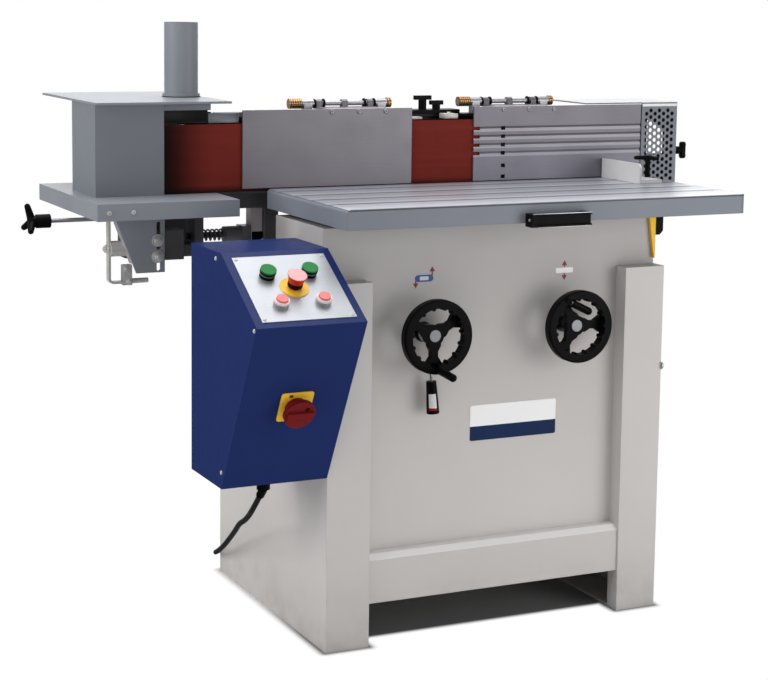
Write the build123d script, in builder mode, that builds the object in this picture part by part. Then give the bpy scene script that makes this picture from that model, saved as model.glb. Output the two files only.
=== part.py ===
"""Edge sander with an upright belt, a rising table and a tilting belt unit.

Millimetres. The origin is on the floor under the middle of the stand, X runs along the
belt to the right, Y runs from the operator to the back and Z is up.
"""

from build123d import *
import math
import os

os.makedirs("parts", exist_ok=True)

# Clearances
seat = 0.3  # between pieces that sit side by side
run = 0.06  # radial, a shaft in its bearing
press = 0.05  # radial, a fixed pin or bush in its hole
button_gap = 0.25  # radial, a push button in its bezel

# Stand
stand_width = 820.0
stand_depth = 640.0
leg_height = 788.0
leg_width = 100.0
leg_sheet = 3.0
rear_flange = 60.0
foot_sheet = 5.0
anchor_inset = 60.0
anchor_radius = 6.5
panel_recess = 40.0
panel_sheet = 3.0
crossbar_bottom = 94.0
crossbar_height = 106.0
crossbar_bevel = 12.0
crossbar_setback = 5.0
crossbar_lip = 30.0
panel_lap = 6.0
rear_panel_bottom = 12.0
head_height = 112.0
head_depth = 260.0
head_inset = 3.0
deck_thickness = 8.0
shelf_drop = 69.0
shelf_thickness = 6.0
shelf_depth = 180.0

# Hand wheels and their screws
wheel_drop = 119.0
tilt_wheel_x = -172.0
lift_wheel_x = 175.0
wheel_radius = 80.0
rim_width = 18.5
rim_depth = 22.0
rim_round = 4.0
rim_set = 17.5
scallop_count = 15
scallop_radius = 4.5
spoke_root = 30.0
spoke_width = 17.0
spoke_flare = 38.0
spoke_waist_from = 34.0
spoke_waist_to = 45.0
spoke_depth = 13.0
hub_radius = 22.0
hub_depth = 19.0
spoke_set = 6.0
tilt_spoke_angle = -90.0
lift_spoke_angle = 120.0
fold_skew = 34.0
shaft_radius = 10.0
cap_radius = 13.0
cap_depth = 2.5
bush_nose = 38.0
bush_nose_radius = 14.0
bush_flange_radius = 22.0
bush_flange_depth = 6.0
bush_body_radius = 15.5
bush_tail = 20.0
gear_outer = 26.0
gear_inner = 14.0
gear_gap = 0.4
hanger_width = 48.0
hanger_depth = 20.0
hanger_drop = 24.0
crank_pivot_radius = 69.0
crank_sink = 4.0
crank_lug = 6.0
crank_pocket_start = 10.5
crank_pocket_end = 40.0
crank_knuckle = 10.0
crank_knuckle_radius = 6.5
crank_pin_radius = 2.5
crank_neck = 13.0
crank_neck_radius = 4.5
crank_grip = 55.0
crank_grip_radius = 8.5
crank_droop = 9.0

# Clamp lever of the tilt shaft
clamp_hub_radius = 20.0
clamp_hub_depth = 14.0
clamp_set = 14.0
clamp_rod_radius = 4.0
clamp_rod_length = 117.0
clamp_reach = 174.0
clamp_grip_length = 70.0
clamp_lean = 4.5
clamp_grip_wide = 14.0
clamp_grip_narrow = 11.0

# Control box
box_width = 234.0
box_height = 484.0
box_drop = 408.0
box_back_y = -137.0
box_top_depth = 176.0
box_knee_reach = 376.0
box_knee_height = 363.0
box_foot_depth = 182.0
box_wall = 2.0
plate_width = 200.0
plate_length = 200.0
plate_thickness = 1.5
plate_from_edge = 17.5
button_spacing = 90.0
start_row = 80.0
stop_row = 168.0
estop_row = 120.0
button_radius = 12.0
button_travel = 4.0
bezel_wall = 3.5
start_bezel_height = 7.0
start_head_radius = 16.5
start_head_height = 7.0
stop_bezel_height = 13.0
button_tail = 10.0
estop_disc_radius = 30.0
estop_disc_thickness = 1.5
estop_stem_radius = 11.0
estop_collar_radius = 15.0
estop_collar_height = 9.0
estop_head_radius = 20.0
estop_neck_radius = 15.0
estop_head_height = 17.0
estop_travel = 5.0
switch_plate_width = 70.0
switch_plate_length = 72.0
switch_plate_thickness = 2.0
switch_plate_corner = 6.0
switch_row = 204.0
switch_side = 3.0
switch_radius = 33.0
switch_neck = 17.0
switch_neck_radius = 23.0
switch_disc = 10.0
switch_bar_width = 17.0
switch_bar_height = 6.0
switch_stem_radius = 8.0

# Cable and glands
cable_radius = 6.0
gland_radius = 14.0
gland_height = 14.0
gland_nose_radius = 9.0
gland_nose = 24.0
gland_thread_radius = 10.0
gland_thread = 10.0
gland_side = -18.0
gland_inset = 19.0
spare_gland_side = -83.0
spare_gland_inset = 120.0
rear_gland_x = -305.0
rear_gland_z = 40.0
rear_gland_reach = 43.0
cable_run = 70.0

# Table
table_rise = 164.0
table_left = -405.0
table_right = 571.0
table_front = -399.0
table_back = 37.0
table_notch_x = 505.0
table_notch_y = -107.0
table_plate = 12.0
apron_height = 43.0
apron_wall = 8.0
table_corner = 16.0
table_edge = 9.0
rib_drop = 25.0
rib_wall = 8.0
rib_pitch_x = 159.0
rib_pitch_y = 146.0
groove_count = 4
groove_first = -25.0
groove_pitch = 92.0
groove_width = 7.0
groove_depth = 2.5
groove_end = 20.0
column_radius = 20.0
column_x = 230.0
column_y = -170.0
column_bush_wall = 6.0
column_bush_flange = 34.0
column_flange_depth = 4.0
column_bush_length = 24.0
lower_bush_length = 60.0
nut_radius = 18.0
nut_length = 140.0
nut_gap = 0.8
lift_screw_short = 22.0
lift_foot_radius = 18.0
lift_foot_height = 24.0
lift_foot_floor = 4.0

# Table grip
grip_left = 6.0
grip_length = 147.0
grip_reach = 28.0
grip_bar = 14.0
grip_post = 16.0
grip_drop = 50.0
grip_height = 28.0
grip_lip = 4.0
grip_recess = 6.0
grip_end = 12.0

# End stop on the table
stop_x = 462.0
stop_thickness = 6.0
stop_front = -130.0
stop_back = 38.0
stop_height = 46.0
stop_chamfer = 8.0
stop_foot_length = 61.0
stop_foot_back = -60.0
stop_foot_thickness = 9.0
stop_key_gap = 0.5
stop_key_drop = 2.0
stop_knob_x = 512.0
stop_knob_y = -85.0
stop_knob_stem = 6.0
stop_knob_rise = 41.7
star_height = 11.0
star_hub = 9.0
star_reach = 29.5
star_root = 5.4
star_tip = 4.6
star_angle = 45.0
tee_width = 12.0

# Table lock lever
lock_inset = 13.5
lock_fall = 14.0
lock_half = 8.5
lock_rise = 12.0
lock_drop = 84.0
lock_tip = 3.0
lock_depth = 9.0
lock_pin_radius = 5.0
lock_pin_tail = 10.0
lock_block_width = 36.0
lock_block_depth = 30.0
lock_block_height = 40.0
lock_block_fall = 50.0
lock_block_inset = 18.0
lock_block_chamfer = 9.0

# Belt, drums and beam
belt_width = 150.0
belt_thickness = 1.5
belt_rise = 159.0
belt_front = 47.0
drum_radius = 70.0
belt_clear = 0.3
idler_x = -640.0
drive_x = 530.0
drum_inset = 5.0
axle_radius = 15.0
axle_rise = 6.0
beam_width = 82.0
beam_height = 33.0
beam_drop = 8.0
beam_right = 673.7
web_thickness = 14.0
web_gap = 16.0
web_rise = 5.0
rail_width = 38.0
rail_height = 6.0
rail_end = 30.0
band_left = -500.0
band_right = -300.0
band_rise = 10.0
band_half = 10.0
housing_left = 612.0
housing_front = 60.0
housing_back = 178.0
housing_rise = 57.0
platen_left = -440.0
platen_right = 430.0
platen_thickness = 10.0
platen_margin = 3.0
pad_thickness = 3.0
stay_width = 50.0
stay_pitch = 330.0
stay_height = 80.0

# Tilt pivot
pivot_drop = 38.0
pivot_radius = 12.0
lug_half = 28.0
lug_gap = 0.5
cheek_half = 30.0
cheek_depth = 14.0
lug_depth = 87.0
pedestal_half = 70.0
pedestal_thickness = 12.0
pin_overhang = 6.0
tilt_screw_play = 3.5
tilt_screw_rise = 19.0
nut_lug_half = 24.0
nut_lug_drop = 24.0
deck_bush_flange = 24.0
deck_bush_radius = 16.0
deck_bush_depth = 5.0

# Idler end
riser_left = -560.0
riser_thickness = 20.0
casting_left = -700.0
casting_drop = 143.0
casting_thickness = 26.0
pad_left = -690.0
pad_right = -600.0
pad_drop = 77.0
end_plate_thickness = 16.0
end_plate_half = 27.0
carriage_left = -690.0
carriage_right = -575.0
carriage_half = 27.0
carriage_drop = 7.0
idler_arm_left = -690.0
idler_arm_right = -517.0
idler_arm_thickness = 12.0
idler_arm_gap = 1.0
tension_travel = 12.0
push_rod_radius = 7.0
push_rod_drop = 103.0
push_rod_end = -445.0
collar_left = -536.0
collar_thickness = 6.0
collar_radius = 15.0
spring_seat_left = -478.0
spring_seat_radius = 18.0
spring_plate_left = -440.0
spring_plate_half = 19.0
spring_bore = 7.5
spring_wire = 2.2
spring_coil = 11.6
spring_turns = 4.5
spring_end_gap = 0.6
bar_left = -418.0
bar_length = 28.0
bar_drop = 58.0
bar_half = 15.0
post_left = -388.0
post_length = 33.0
post_drop = 76.0
post_half = 24.0
tension_rod_drop = 57.0
tension_rod_radius = 4.0
tension_rod_end = -662.0
tension_bore_gap = 0.3
tension_bore_end = -656.0
knob_right = -876.0
knob_hub_radius = 15.0
knob_hub_length = 30.0
knob_lobe_set = 9.0
knob_lobe_radius = 9.5
knob_tip_radius = 6.5
knob_lobe_reach = 33.0
knob_lobe_sweep = 10.0
knob_lobe_angle = 268.0
knob_cap = 8.0
knob_cap_radius = 12.5

# Fences and their hinges
fence_front = 41.0
fence_thickness = 4.0
fence_clear = 1.5
fence_rise = 30.0
left_fence_from = -462.0
left_fence_to = -48.0
right_fence_from = 113.0
right_fence_to = 571.0
left_hinge_x = -185.0
right_hinge_x = 246.0
tongue_half = 74.0
tongue_back = 6.0
hinge_rise = 8.0
hinge_rod_radius = 5.5
hinge_block = 14.0
hinge_block_offset = 64.0
hinge_block_half = 9.0
barrel_offset = 92.0
barrel_length = 30.0
barrel_radius = 9.5
barrel_foot = 20.0
brass_long = 30.0
brass_short = 10.0
brass_radius = 11.5
fence_slot_drop = 51.0
fence_slot_pitch = 19.5
fence_slot_count = 4
fence_slot_height = 8.0
fence_slot_depth = 2.6
fence_notch = 17.0
hole_column_x = 192.0
hole_width = 11.0
hole_height = 9.0
hole_low_rise = 15.0
hole_high_rise = 41.0

# Clamp bracket between the fences
bracket_left = -30.0
bracket_right = 103.0
bracket_front = 95.0
bracket_back = 142.0
bracket_height = 10.0
rear_tee_x = 18.0
rear_tee_y = 122.0
rear_tee_rise = 22.0
front_tee_x = 47.0
front_tee_y = 108.0
front_tee_rise = 11.0
tee_stem_radius = 6.0
tee_hub_radius = 9.5
clamp_tee_height = 10.0
tee_sink = 7.0
rear_tee_length = 42.0
front_tee_length = 32.0

# Guard at the right end
guard_left = 574.0
guard_right = 676.0
guard_front = 42.0
guard_sheet = 2.0
guard_return = 58.0
guard_drop = 22.0
cover_left = 420.0
cover_front = 48.0
cover_back = 205.0
cover_rise = 1.0
cover_sheet = 3.0
cover_corner = 40.0
mesh_hole = 5.0
mesh_pitch_x = 12.2
mesh_pitch_z = 15.9
mesh_columns = 7
mesh_rows = 11
mesh_drop = 3.0
wing_y = 70.0
wing_rise = 63.0
wing_hub_radius = 10.0
wing_hub_length = 24.0
wing_span = 42.0
wing_width = 10.0
wing_lobe = 8.0
wing_depth = 22.0

# Drive
pulley_radius = 50.0
pulley_height = 30.0
pulley_drop = 8.0
vee_clear = 0.3
vee_thickness = 4.7
vee_width = 20.0
motor_x = 300.0
motor_y = 420.0
motor_radius = 75.0
motor_length = 210.0
motor_gap = 18.0
motor_shaft_radius = 12.0
motor_shaft_sink = 58.0
motor_plate_half = 85.0
motor_plate = 8.0
motor_foot = 80.0
motor_foot_half = 60.0
motor_foot_margin = 40.0
motor_cowl = 20.0
motor_cowl_radius = 70.0
terminal_box = 70.0
terminal_depth = 40.0
terminal_height = 80.0

# End table, hood and dust outlet
end_left = -836.0
end_right = -524.0
end_front = -105.0
end_back = 353.0
end_step = 5.0
end_sheet = 3.0
end_apron = 36.0
end_slot_left = -735.0
end_slot_front = 37.0
end_slot_back = 200.0
gusset_front = 30.0
gusset_sheet = 6.0
gusset_top_left = -774.0
gusset_right = -646.0
gusset_low_left = -710.0
gusset_drop = 168.0
gusset_slot_x = -660.0
gusset_upper_drop = 97.0
gusset_lower_drop = 132.0
gusset_slot_radius = 4.5
gusset_slot_spare = 35.0
gusset_slot_tail = 28.5
end_travel = 16.0
strap_left = -767.5
strap_width = 18.0
strap_sheet = 5.0
strap_set = 9.0
strap_top_drop = 44.0
strap_drop = 191.0
strap_bend = 12.0
strap_boss_drop = 115.0
strap_boss_radius = 17.0
strap_boss_lap = 25.0
strap_seat_lap = 6.0
strap_seat_half = 8.0
strap_leg = 32.5
strap_lug_width = 20.0
strap_lug_height = 40.0
strap_lug_foot = 4.0
strap_rod_length = 38.0
strap_rod_radius = 5.5
strap_rod_rise = 4.0
hood_left = -801.0
hood_right = -648.0
hood_front = 27.0
hood_back = 203.0
hood_rear_x = -660.0
hood_rear_y = 252.0
hood_rear_right = -528.0
hood_sheet = 2.5
cover_plate_left = -805.0
cover_plate_right = -500.0
cover_plate_front = 8.0
cover_plate_back = 433.0
hood_height = 197.0
cover_plate_thickness = 5.0
pipe_x = -547.0
pipe_y = 207.0
pipe_radius = 38.0
pipe_wall = 2.0
pipe_length = 167.0
pipe_collar = 4.0
pipe_collar_height = 8.0

# Places that follow from the sizes above
half = stand_width / 2
front = -stand_depth / 2
back = stand_depth / 2
leg_in = half - leg_width
panel_y = front + panel_recess
panel_in = panel_y + panel_sheet
panel_bottom = crossbar_bottom + panel_lap
head_top = leg_height + head_height
wheel_height = leg_height - wheel_drop
shelf_height = wheel_height - shelf_drop
head_back = panel_y + head_depth
head_half = half - head_inset
anchor_y = back - anchor_inset
anchor_x = half - leg_width / 2
crossbar_top = crossbar_bottom + crossbar_height
shelf_top = shelf_height + shelf_thickness
rear_in = back - leg_sheet - panel_sheet

wheel_back = panel_y - bush_nose - seat
hub_front = wheel_back - hub_depth
rim_inner = wheel_radius - rim_width
bush_hole = bush_body_radius + press

box_bottom = leg_height - box_drop
box_right = -half
box_left = box_right - box_width
box_mid = (box_left + box_right) / 2
box_top = box_bottom + box_height
box_top_y = box_back_y - box_top_depth
box_knee_y = box_back_y - box_knee_reach
box_knee_z = box_bottom + box_knee_height
box_foot_y = box_back_y - box_foot_depth
panel_slope = math.atan2(box_top - box_knee_z, box_top_y - box_knee_y)
lower_slope = math.atan2(box_foot_y - box_knee_y, box_knee_z - box_bottom)
panel_plane = Plane(
    origin=(box_mid, box_top_y, box_top),
    x_dir=(1, 0, 0),
    z_dir=(0, -math.sin(panel_slope), math.cos(panel_slope)),
)
switch_plane = Plane(
    origin=(box_mid, box_knee_y, box_knee_z),
    x_dir=(1, 0, 0),
    z_dir=(0, -math.cos(lower_slope), -math.sin(lower_slope)),
)

gland_x = box_mid + gland_side
gland_y = box_foot_y + gland_inset
spare_gland_x = box_mid + spare_gland_side
spare_gland_y = box_foot_y + spare_gland_inset
gland_places = [(gland_x, gland_y), (spare_gland_x, spare_gland_y)]

table_top_z = leg_height + table_rise
table_under = table_top_z - table_plate
apron_bottom = table_top_z - apron_height
column_foot = shelf_height - lower_bush_length
lift_screw_top = table_top_z - lift_screw_short
grip_bottom = table_top_z - grip_drop
lock_x = half - lock_inset
lock_z = head_top - lock_fall
lock_block_bottom = head_top - lock_block_fall

drum_y = belt_front + belt_thickness + belt_clear + drum_radius
belt_bottom = leg_height + belt_rise
belt_top = belt_bottom + belt_width
drum_bottom = belt_bottom + drum_inset
drum_top = belt_top - drum_inset
beam_top = belt_bottom - beam_drop
beam_bottom = beam_top - beam_height
beam_front = drum_y - beam_width / 2
beam_back = drum_y + beam_width / 2
belt_reach = drum_radius + belt_clear + belt_thickness
web_left = idler_x + belt_reach + web_gap
web_right = drive_x - belt_reach - web_gap
web_top = belt_top + web_rise
rail_top = web_top + rail_height
band_top = rail_top + band_rise
pivot_z = beam_bottom - pivot_drop
tilt_screw_top = beam_bottom + tilt_screw_rise
casting_bottom = belt_bottom - casting_drop
casting_top = casting_bottom + casting_thickness
pad_top = belt_bottom - pad_drop
carriage_top = belt_bottom - carriage_drop
idler_arm_bottom = rail_top + idler_arm_gap
idler_arm_top = idler_arm_bottom + idler_arm_thickness
push_rod_z = belt_bottom - push_rod_drop
tension_rod_z = belt_bottom - tension_rod_drop
riser_right = riser_left + riser_thickness
fence_top = belt_top + fence_rise
fence_slot_first = fence_top - fence_slot_drop
hole_low_first = belt_bottom + hole_low_rise
hole_low_second = belt_bottom + hole_high_rise
guard_bottom = belt_bottom - guard_drop
cover_bottom = fence_top + cover_rise
mesh_bottom = belt_bottom - mesh_drop
wing_z = belt_bottom + wing_rise
hinge_y = drum_y
hinge_z = fence_top + hinge_rise
fence_back = fence_front + fence_thickness
fence_bottom = table_top_z + fence_clear
pulley_top = beam_bottom - pulley_drop
pulley_bottom = pulley_top - pulley_height
end_top = table_top_z - end_step
end_under = end_top - end_sheet
gusset_bottom = end_top - gusset_drop
gusset_slot_upper = end_top - gusset_upper_drop
gusset_slot_lower = end_top - gusset_lower_drop
strap_bottom = end_top - strap_drop
strap_boss_z = end_top - strap_boss_drop
strap_top = end_top - strap_top_drop
cover_plate_z = end_top + hood_height
end_low = end_top - end_apron


def block(x0, x1, y0, y1, z0, z1, mode=Mode.ADD):
    """Add or cut a box between two corners."""
    with Locations(((x0 + x1) / 2, (y0 + y1) / 2, (z0 + z1) / 2)):
        Box(x1 - x0, y1 - y0, z1 - z0, mode=mode)


def rod_x(y, z, x0, x1, radius, mode=Mode.ADD):
    """Add or cut a round bar along X."""
    with Locations(((x0 + x1) / 2, y, z)):
        Cylinder(radius, x1 - x0, rotation=(0, 90, 0), mode=mode)


def rod_y(x, z, y0, y1, radius, mode=Mode.ADD):
    """Add or cut a round bar along Y."""
    with Locations((x, (y0 + y1) / 2, z)):
        Cylinder(radius, y1 - y0, rotation=(90, 0, 0), mode=mode)


def rod_z(x, y, z0, z1, radius, mode=Mode.ADD):
    """Add or cut a round bar along Z."""
    with Locations((x, y, (z0 + z1) / 2)):
        Cylinder(radius, z1 - z0, mode=mode)


def rod_on(plane, x, y, w0, w1, radius, mode=Mode.ADD):
    """Add or cut a round bar that stands on a plane."""
    with Locations(plane):
        with Locations((x, y, (w0 + w1) / 2)):
            Cylinder(radius, w1 - w0, mode=mode)


def block_on(plane, x, y, w0, w1, width, length, mode=Mode.ADD):
    """Add or cut a box that stands on a plane."""
    with Locations(plane):
        with Locations((x, y, (w0 + w1) / 2)):
            Box(width, length, w1 - w0, mode=mode)


def prism(plane, points, depth, mode=Mode.ADD):
    """Add or cut a straight-sided profile drawn on a plane."""
    with BuildSketch(plane, mode=Mode.PRIVATE) as profile:
        with BuildLine():
            Polyline(*points, close=True)
        make_face()
    extrude(profile.sketch, amount=depth, mode=mode)


def prism_x(points, x0, x1, mode=Mode.ADD):
    """Extrude a (y, z) profile along X."""
    prism(Plane.YZ.offset(x0), points, x1 - x0, mode)


def prism_y(points, y0, y1, mode=Mode.ADD):
    """Extrude an (x, z) profile along Y."""
    prism(Plane.XZ.offset(-y1), points, y1 - y0, mode)


def prism_z(points, z0, z1, mode=Mode.ADD):
    """Extrude an (x, y) profile along Z."""
    prism(Plane.XY.offset(z0), points, z1 - z0, mode)


def star_lobes(lie, reach, root_radius, tip_radius, sweep, first_angle):
    """Add three tapered lobes round a plane's axis, swept along it."""
    for lobe in range(3):
        angle = math.radians(first_angle + 120 * lobe)
        across = lie.x_dir * (reach * math.cos(angle)) + lie.y_dir * (reach * math.sin(angle))
        way = across + lie.z_dir * sweep
        with Locations(Plane(origin=lie.origin, z_dir=way)):
            with Locations((0, 0, way.length / 2)):
                Cone(root_radius, tip_radius, way.length)
            with Locations((0, 0, way.length)):
                Sphere(tip_radius)


# Left leg: a folded side sheet with a front flange, a rear flange, a cap and a foot
with BuildPart() as left_leg:
    block(-half, -half + leg_sheet, front, back, 0, leg_height)
    block(-half, -leg_in, front, front + leg_sheet, 0, leg_height)
    block(-leg_in - leg_sheet, -leg_in, front, panel_y, 0, leg_height)
    block(-half, -half + rear_flange, back - leg_sheet, back, 0, leg_height)
    block(-half, -leg_in, front, back, leg_height - leg_sheet, leg_height)
    block(-half, -leg_in, front, back, 0, foot_sheet)
    rod_z(-anchor_x, -anchor_y, 0, foot_sheet, anchor_radius, Mode.SUBTRACT)
    rod_z(-anchor_x, anchor_y, 0, foot_sheet, anchor_radius, Mode.SUBTRACT)
left_leg.part.label = "left_leg"
export_step(left_leg.part, "parts/left_leg.step")

# Right leg: the mirror image
with BuildPart() as right_leg:
    mirror(left_leg.part, about=Plane.YZ)
right_leg.part.label = "right_leg"
export_step(right_leg.part, "parts/right_leg.step")

# Crossbar between the legs, a folded channel with a bevelled top edge
bar_y = front + crossbar_setback
bar_mitre = leg_sheet * math.tan(math.pi / 8)
with BuildPart() as crossbar:
    prism_x(
        [
            (bar_y, crossbar_bottom),
            (bar_y, crossbar_top - crossbar_bevel),
            (bar_y + crossbar_bevel, crossbar_top),
            (panel_y, crossbar_top),
            (panel_y, crossbar_top - leg_sheet),
            (bar_y + crossbar_bevel + bar_mitre, crossbar_top - leg_sheet),
            (bar_y + leg_sheet, crossbar_top - crossbar_bevel - bar_mitre),
            (bar_y + leg_sheet, crossbar_bottom + leg_sheet),
            (bar_y + crossbar_lip, crossbar_bottom + leg_sheet),
            (bar_y + crossbar_lip, crossbar_bottom),
        ],
        -leg_in + seat,
        leg_in - seat,
    )
crossbar.part.label = "crossbar"
export_step(crossbar.part, "parts/crossbar.step")

# Cabinet: the recessed front panel, the head above the legs and an inner shelf
head_hole = column_radius + column_bush_wall + press
nut_hole = nut_radius + 2
with BuildPart() as cabinet:
    block(
        -leg_in - leg_sheet,
        leg_in + leg_sheet,
        panel_y,
        panel_in,
        panel_bottom,
        leg_height - leg_sheet - seat,
    )
    block(-leg_in + seat, leg_in - seat, panel_y, panel_in, panel_bottom, head_top)
    block(-head_half, head_half, panel_y, panel_in, leg_height, head_top)
    block(-head_half, head_half, head_back - panel_sheet, head_back, leg_height, head_top)
    block(-head_half, -head_half + panel_sheet, panel_y, head_back, leg_height, head_top)
    block(head_half - panel_sheet, head_half, panel_y, head_back, leg_height, head_top)
    block(-head_half, head_half, panel_y, head_back, head_top - panel_sheet, head_top)
    block(
        -leg_in + leg_sheet,
        leg_in - leg_sheet,
        panel_y,
        panel_in + shelf_depth,
        shelf_height,
        shelf_top,
    )
    for column_side in (-column_x, column_x):
        rod_z(column_side, column_y, shelf_height, head_top, head_hole, Mode.SUBTRACT)
    rod_z(lift_wheel_x, column_y, head_top - panel_sheet, head_top, nut_hole, Mode.SUBTRACT)
    for wheel_x in (tilt_wheel_x, lift_wheel_x):
        rod_y(wheel_x, wheel_height, panel_y, panel_in, bush_hole, Mode.SUBTRACT)
    rod_y(lock_x, lock_z, panel_y, panel_in, lock_pin_radius + run, Mode.SUBTRACT)
cabinet.part.label = "cabinet"
export_step(cabinet.part, "parts/cabinet.step")

# Rear deck that carries the pivot, and the rear panel below it
with BuildPart() as rear_panels:
    block(
        -leg_in + seat,
        leg_in - seat,
        head_back + seat,
        rear_in - seat,
        leg_height - deck_thickness,
        leg_height,
    )
    rod_z(
        tilt_wheel_x,
        drum_y,
        leg_height - deck_thickness,
        leg_height,
        deck_bush_radius + press,
        Mode.SUBTRACT,
    )
    block(
        -half + leg_sheet + seat,
        half - leg_sheet - seat,
        rear_in,
        back - leg_sheet,
        rear_panel_bottom,
        leg_height - leg_sheet - seat,
    )
    rod_y(
        rear_gland_x,
        rear_gland_z,
        rear_in,
        back - leg_sheet,
        gland_nose_radius + press,
        Mode.SUBTRACT,
    )
rear_panels.part.label = "rear_panels"
export_step(rear_panels.part, "parts/rear_panels.step")

# Pivot pedestal with its pin
cheek_in = lug_depth / 2 + lug_gap
cheek_out = cheek_in + cheek_depth
pedestal_top = leg_height + pedestal_thickness
with BuildPart() as pivot_pedestal:
    block(
        -pedestal_half,
        pedestal_half,
        drum_y - cheek_out,
        drum_y + cheek_out,
        leg_height,
        pedestal_top,
    )
    for cheek_y0, cheek_y1 in (
        (drum_y - cheek_out, drum_y - cheek_in),
        (drum_y + cheek_in, drum_y + cheek_out),
    ):
        block(-cheek_half, cheek_half, cheek_y0, cheek_y1, leg_height, pivot_z)
        rod_y(0, pivot_z, cheek_y0, cheek_y1, cheek_half)
    rod_y(
        0,
        pivot_z,
        drum_y - cheek_out,
        drum_y + cheek_out,
        pivot_radius + press,
        Mode.SUBTRACT,
    )
    rod_y(
        0,
        pivot_z,
        drum_y - cheek_out - pin_overhang,
        drum_y + cheek_out + pin_overhang,
        pivot_radius,
    )
pivot_pedestal.part.label = "pivot_pedestal"
export_step(pivot_pedestal.part, "parts/pivot_pedestal.step")

# Bushes and bearings that are fixed in the stand
column_outer = column_radius + column_bush_wall
hanger_y = drum_y - gear_outer - hanger_depth - 15
with BuildPart() as shaft_bushes:
    for wheel_x in (tilt_wheel_x, lift_wheel_x):
        rod_y(wheel_x, wheel_height, panel_y - bush_nose, panel_y, bush_nose_radius)
        rod_y(wheel_x, wheel_height, panel_y - bush_flange_depth, panel_y, bush_flange_radius)
        rod_y(wheel_x, wheel_height, panel_y - 1, panel_in + bush_tail, bush_body_radius)
    rod_y(
        lift_wheel_x,
        wheel_height,
        panel_y - bush_nose,
        panel_in + bush_tail,
        shaft_radius + run,
        Mode.SUBTRACT,
    )
    for column_side in (-column_x, column_x):
        rod_z(
            column_side,
            column_y,
            head_top - column_bush_length,
            head_top + column_flange_depth,
            column_outer,
        )
        rod_z(
            column_side,
            column_y,
            head_top,
            head_top + column_flange_depth,
            column_bush_flange,
        )
        rod_z(
            column_side,
            column_y,
            shelf_top - lower_bush_length / 2,
            shelf_top + lower_bush_length / 2,
            column_outer,
        )
        rod_z(
            column_side,
            column_y,
            shelf_top,
            shelf_top + column_flange_depth,
            column_bush_flange,
        )
        rod_z(
            column_side,
            column_y,
            shelf_height - lower_bush_length,
            head_top + column_flange_depth,
            column_radius + run,
            Mode.SUBTRACT,
        )
    rod_z(lift_wheel_x, column_y, shelf_top, shelf_top + lift_foot_height, lift_foot_radius)
    rod_z(
        lift_wheel_x,
        column_y,
        shelf_top + lift_foot_floor,
        shelf_top + lift_foot_height,
        shaft_radius + run,
        Mode.SUBTRACT,
    )
    rod_z(tilt_wheel_x, drum_y, leg_height, leg_height + deck_bush_depth, deck_bush_flange)
    rod_z(
        tilt_wheel_x,
        drum_y,
        leg_height - 2 * deck_thickness,
        leg_height + deck_bush_depth,
        deck_bush_radius,
    )
    rod_z(
        tilt_wheel_x,
        drum_y,
        leg_height - 2 * deck_thickness,
        leg_height + deck_bush_depth,
        shaft_radius + run,
        Mode.SUBTRACT,
    )
    block(
        tilt_wheel_x - hanger_width / 2,
        tilt_wheel_x + hanger_width / 2,
        hanger_y,
        hanger_y + hanger_depth,
        wheel_height - hanger_drop,
        leg_height - deck_thickness,
    )
    rod_y(
        tilt_wheel_x,
        wheel_height,
        panel_y - bush_nose,
        hanger_y + hanger_depth,
        shaft_radius + run,
        Mode.SUBTRACT,
    )
shaft_bushes.part.label = "shaft_bushes"
export_step(shaft_bushes.part, "parts/shaft_bushes.step")


def wheel_shaft(x, mesh_y):
    """A hand wheel's shaft with its end cap and the bevel gear that meets the screw."""
    rod_y(x, wheel_height, hub_front, mesh_y - gear_inner, shaft_radius)
    rod_y(x, wheel_height, hub_front - cap_depth, hub_front, cap_radius)
    with Locations((x, mesh_y - (gear_outer + gear_inner) / 2, wheel_height)):
        Cone(
            gear_outer - gear_gap,
            gear_inner - gear_gap,
            gear_outer - gear_inner,
            rotation=(-90, 0, 0),
        )


def wheel_screw(x, y, z0, z1):
    """An upright screw with the bevel gear that meets the shaft."""
    rod_z(x, y, z0, z1, shaft_radius)
    with Locations((x, y, wheel_height + (gear_outer + gear_inner) / 2)):
        Cone(gear_inner - gear_gap, gear_outer - gear_gap, gear_outer - gear_inner)


def pivot_frame(x, spoke_angle):
    """The plane at a crank's pivot: x along the fold axis, y to the folded grip, z outward."""
    fold = math.radians(spoke_angle + 180 + fold_skew)
    place = math.radians(spoke_angle)
    pivot_y = wheel_back - rim_set - rim_depth + crank_sink
    return Plane(
        origin=(
            x + crank_pivot_radius * math.cos(place),
            pivot_y,
            wheel_height + crank_pivot_radius * math.sin(place),
        ),
        x_dir=(math.sin(fold), 0, -math.cos(fold)),
        z_dir=(0, -1, 0),
    )


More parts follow.
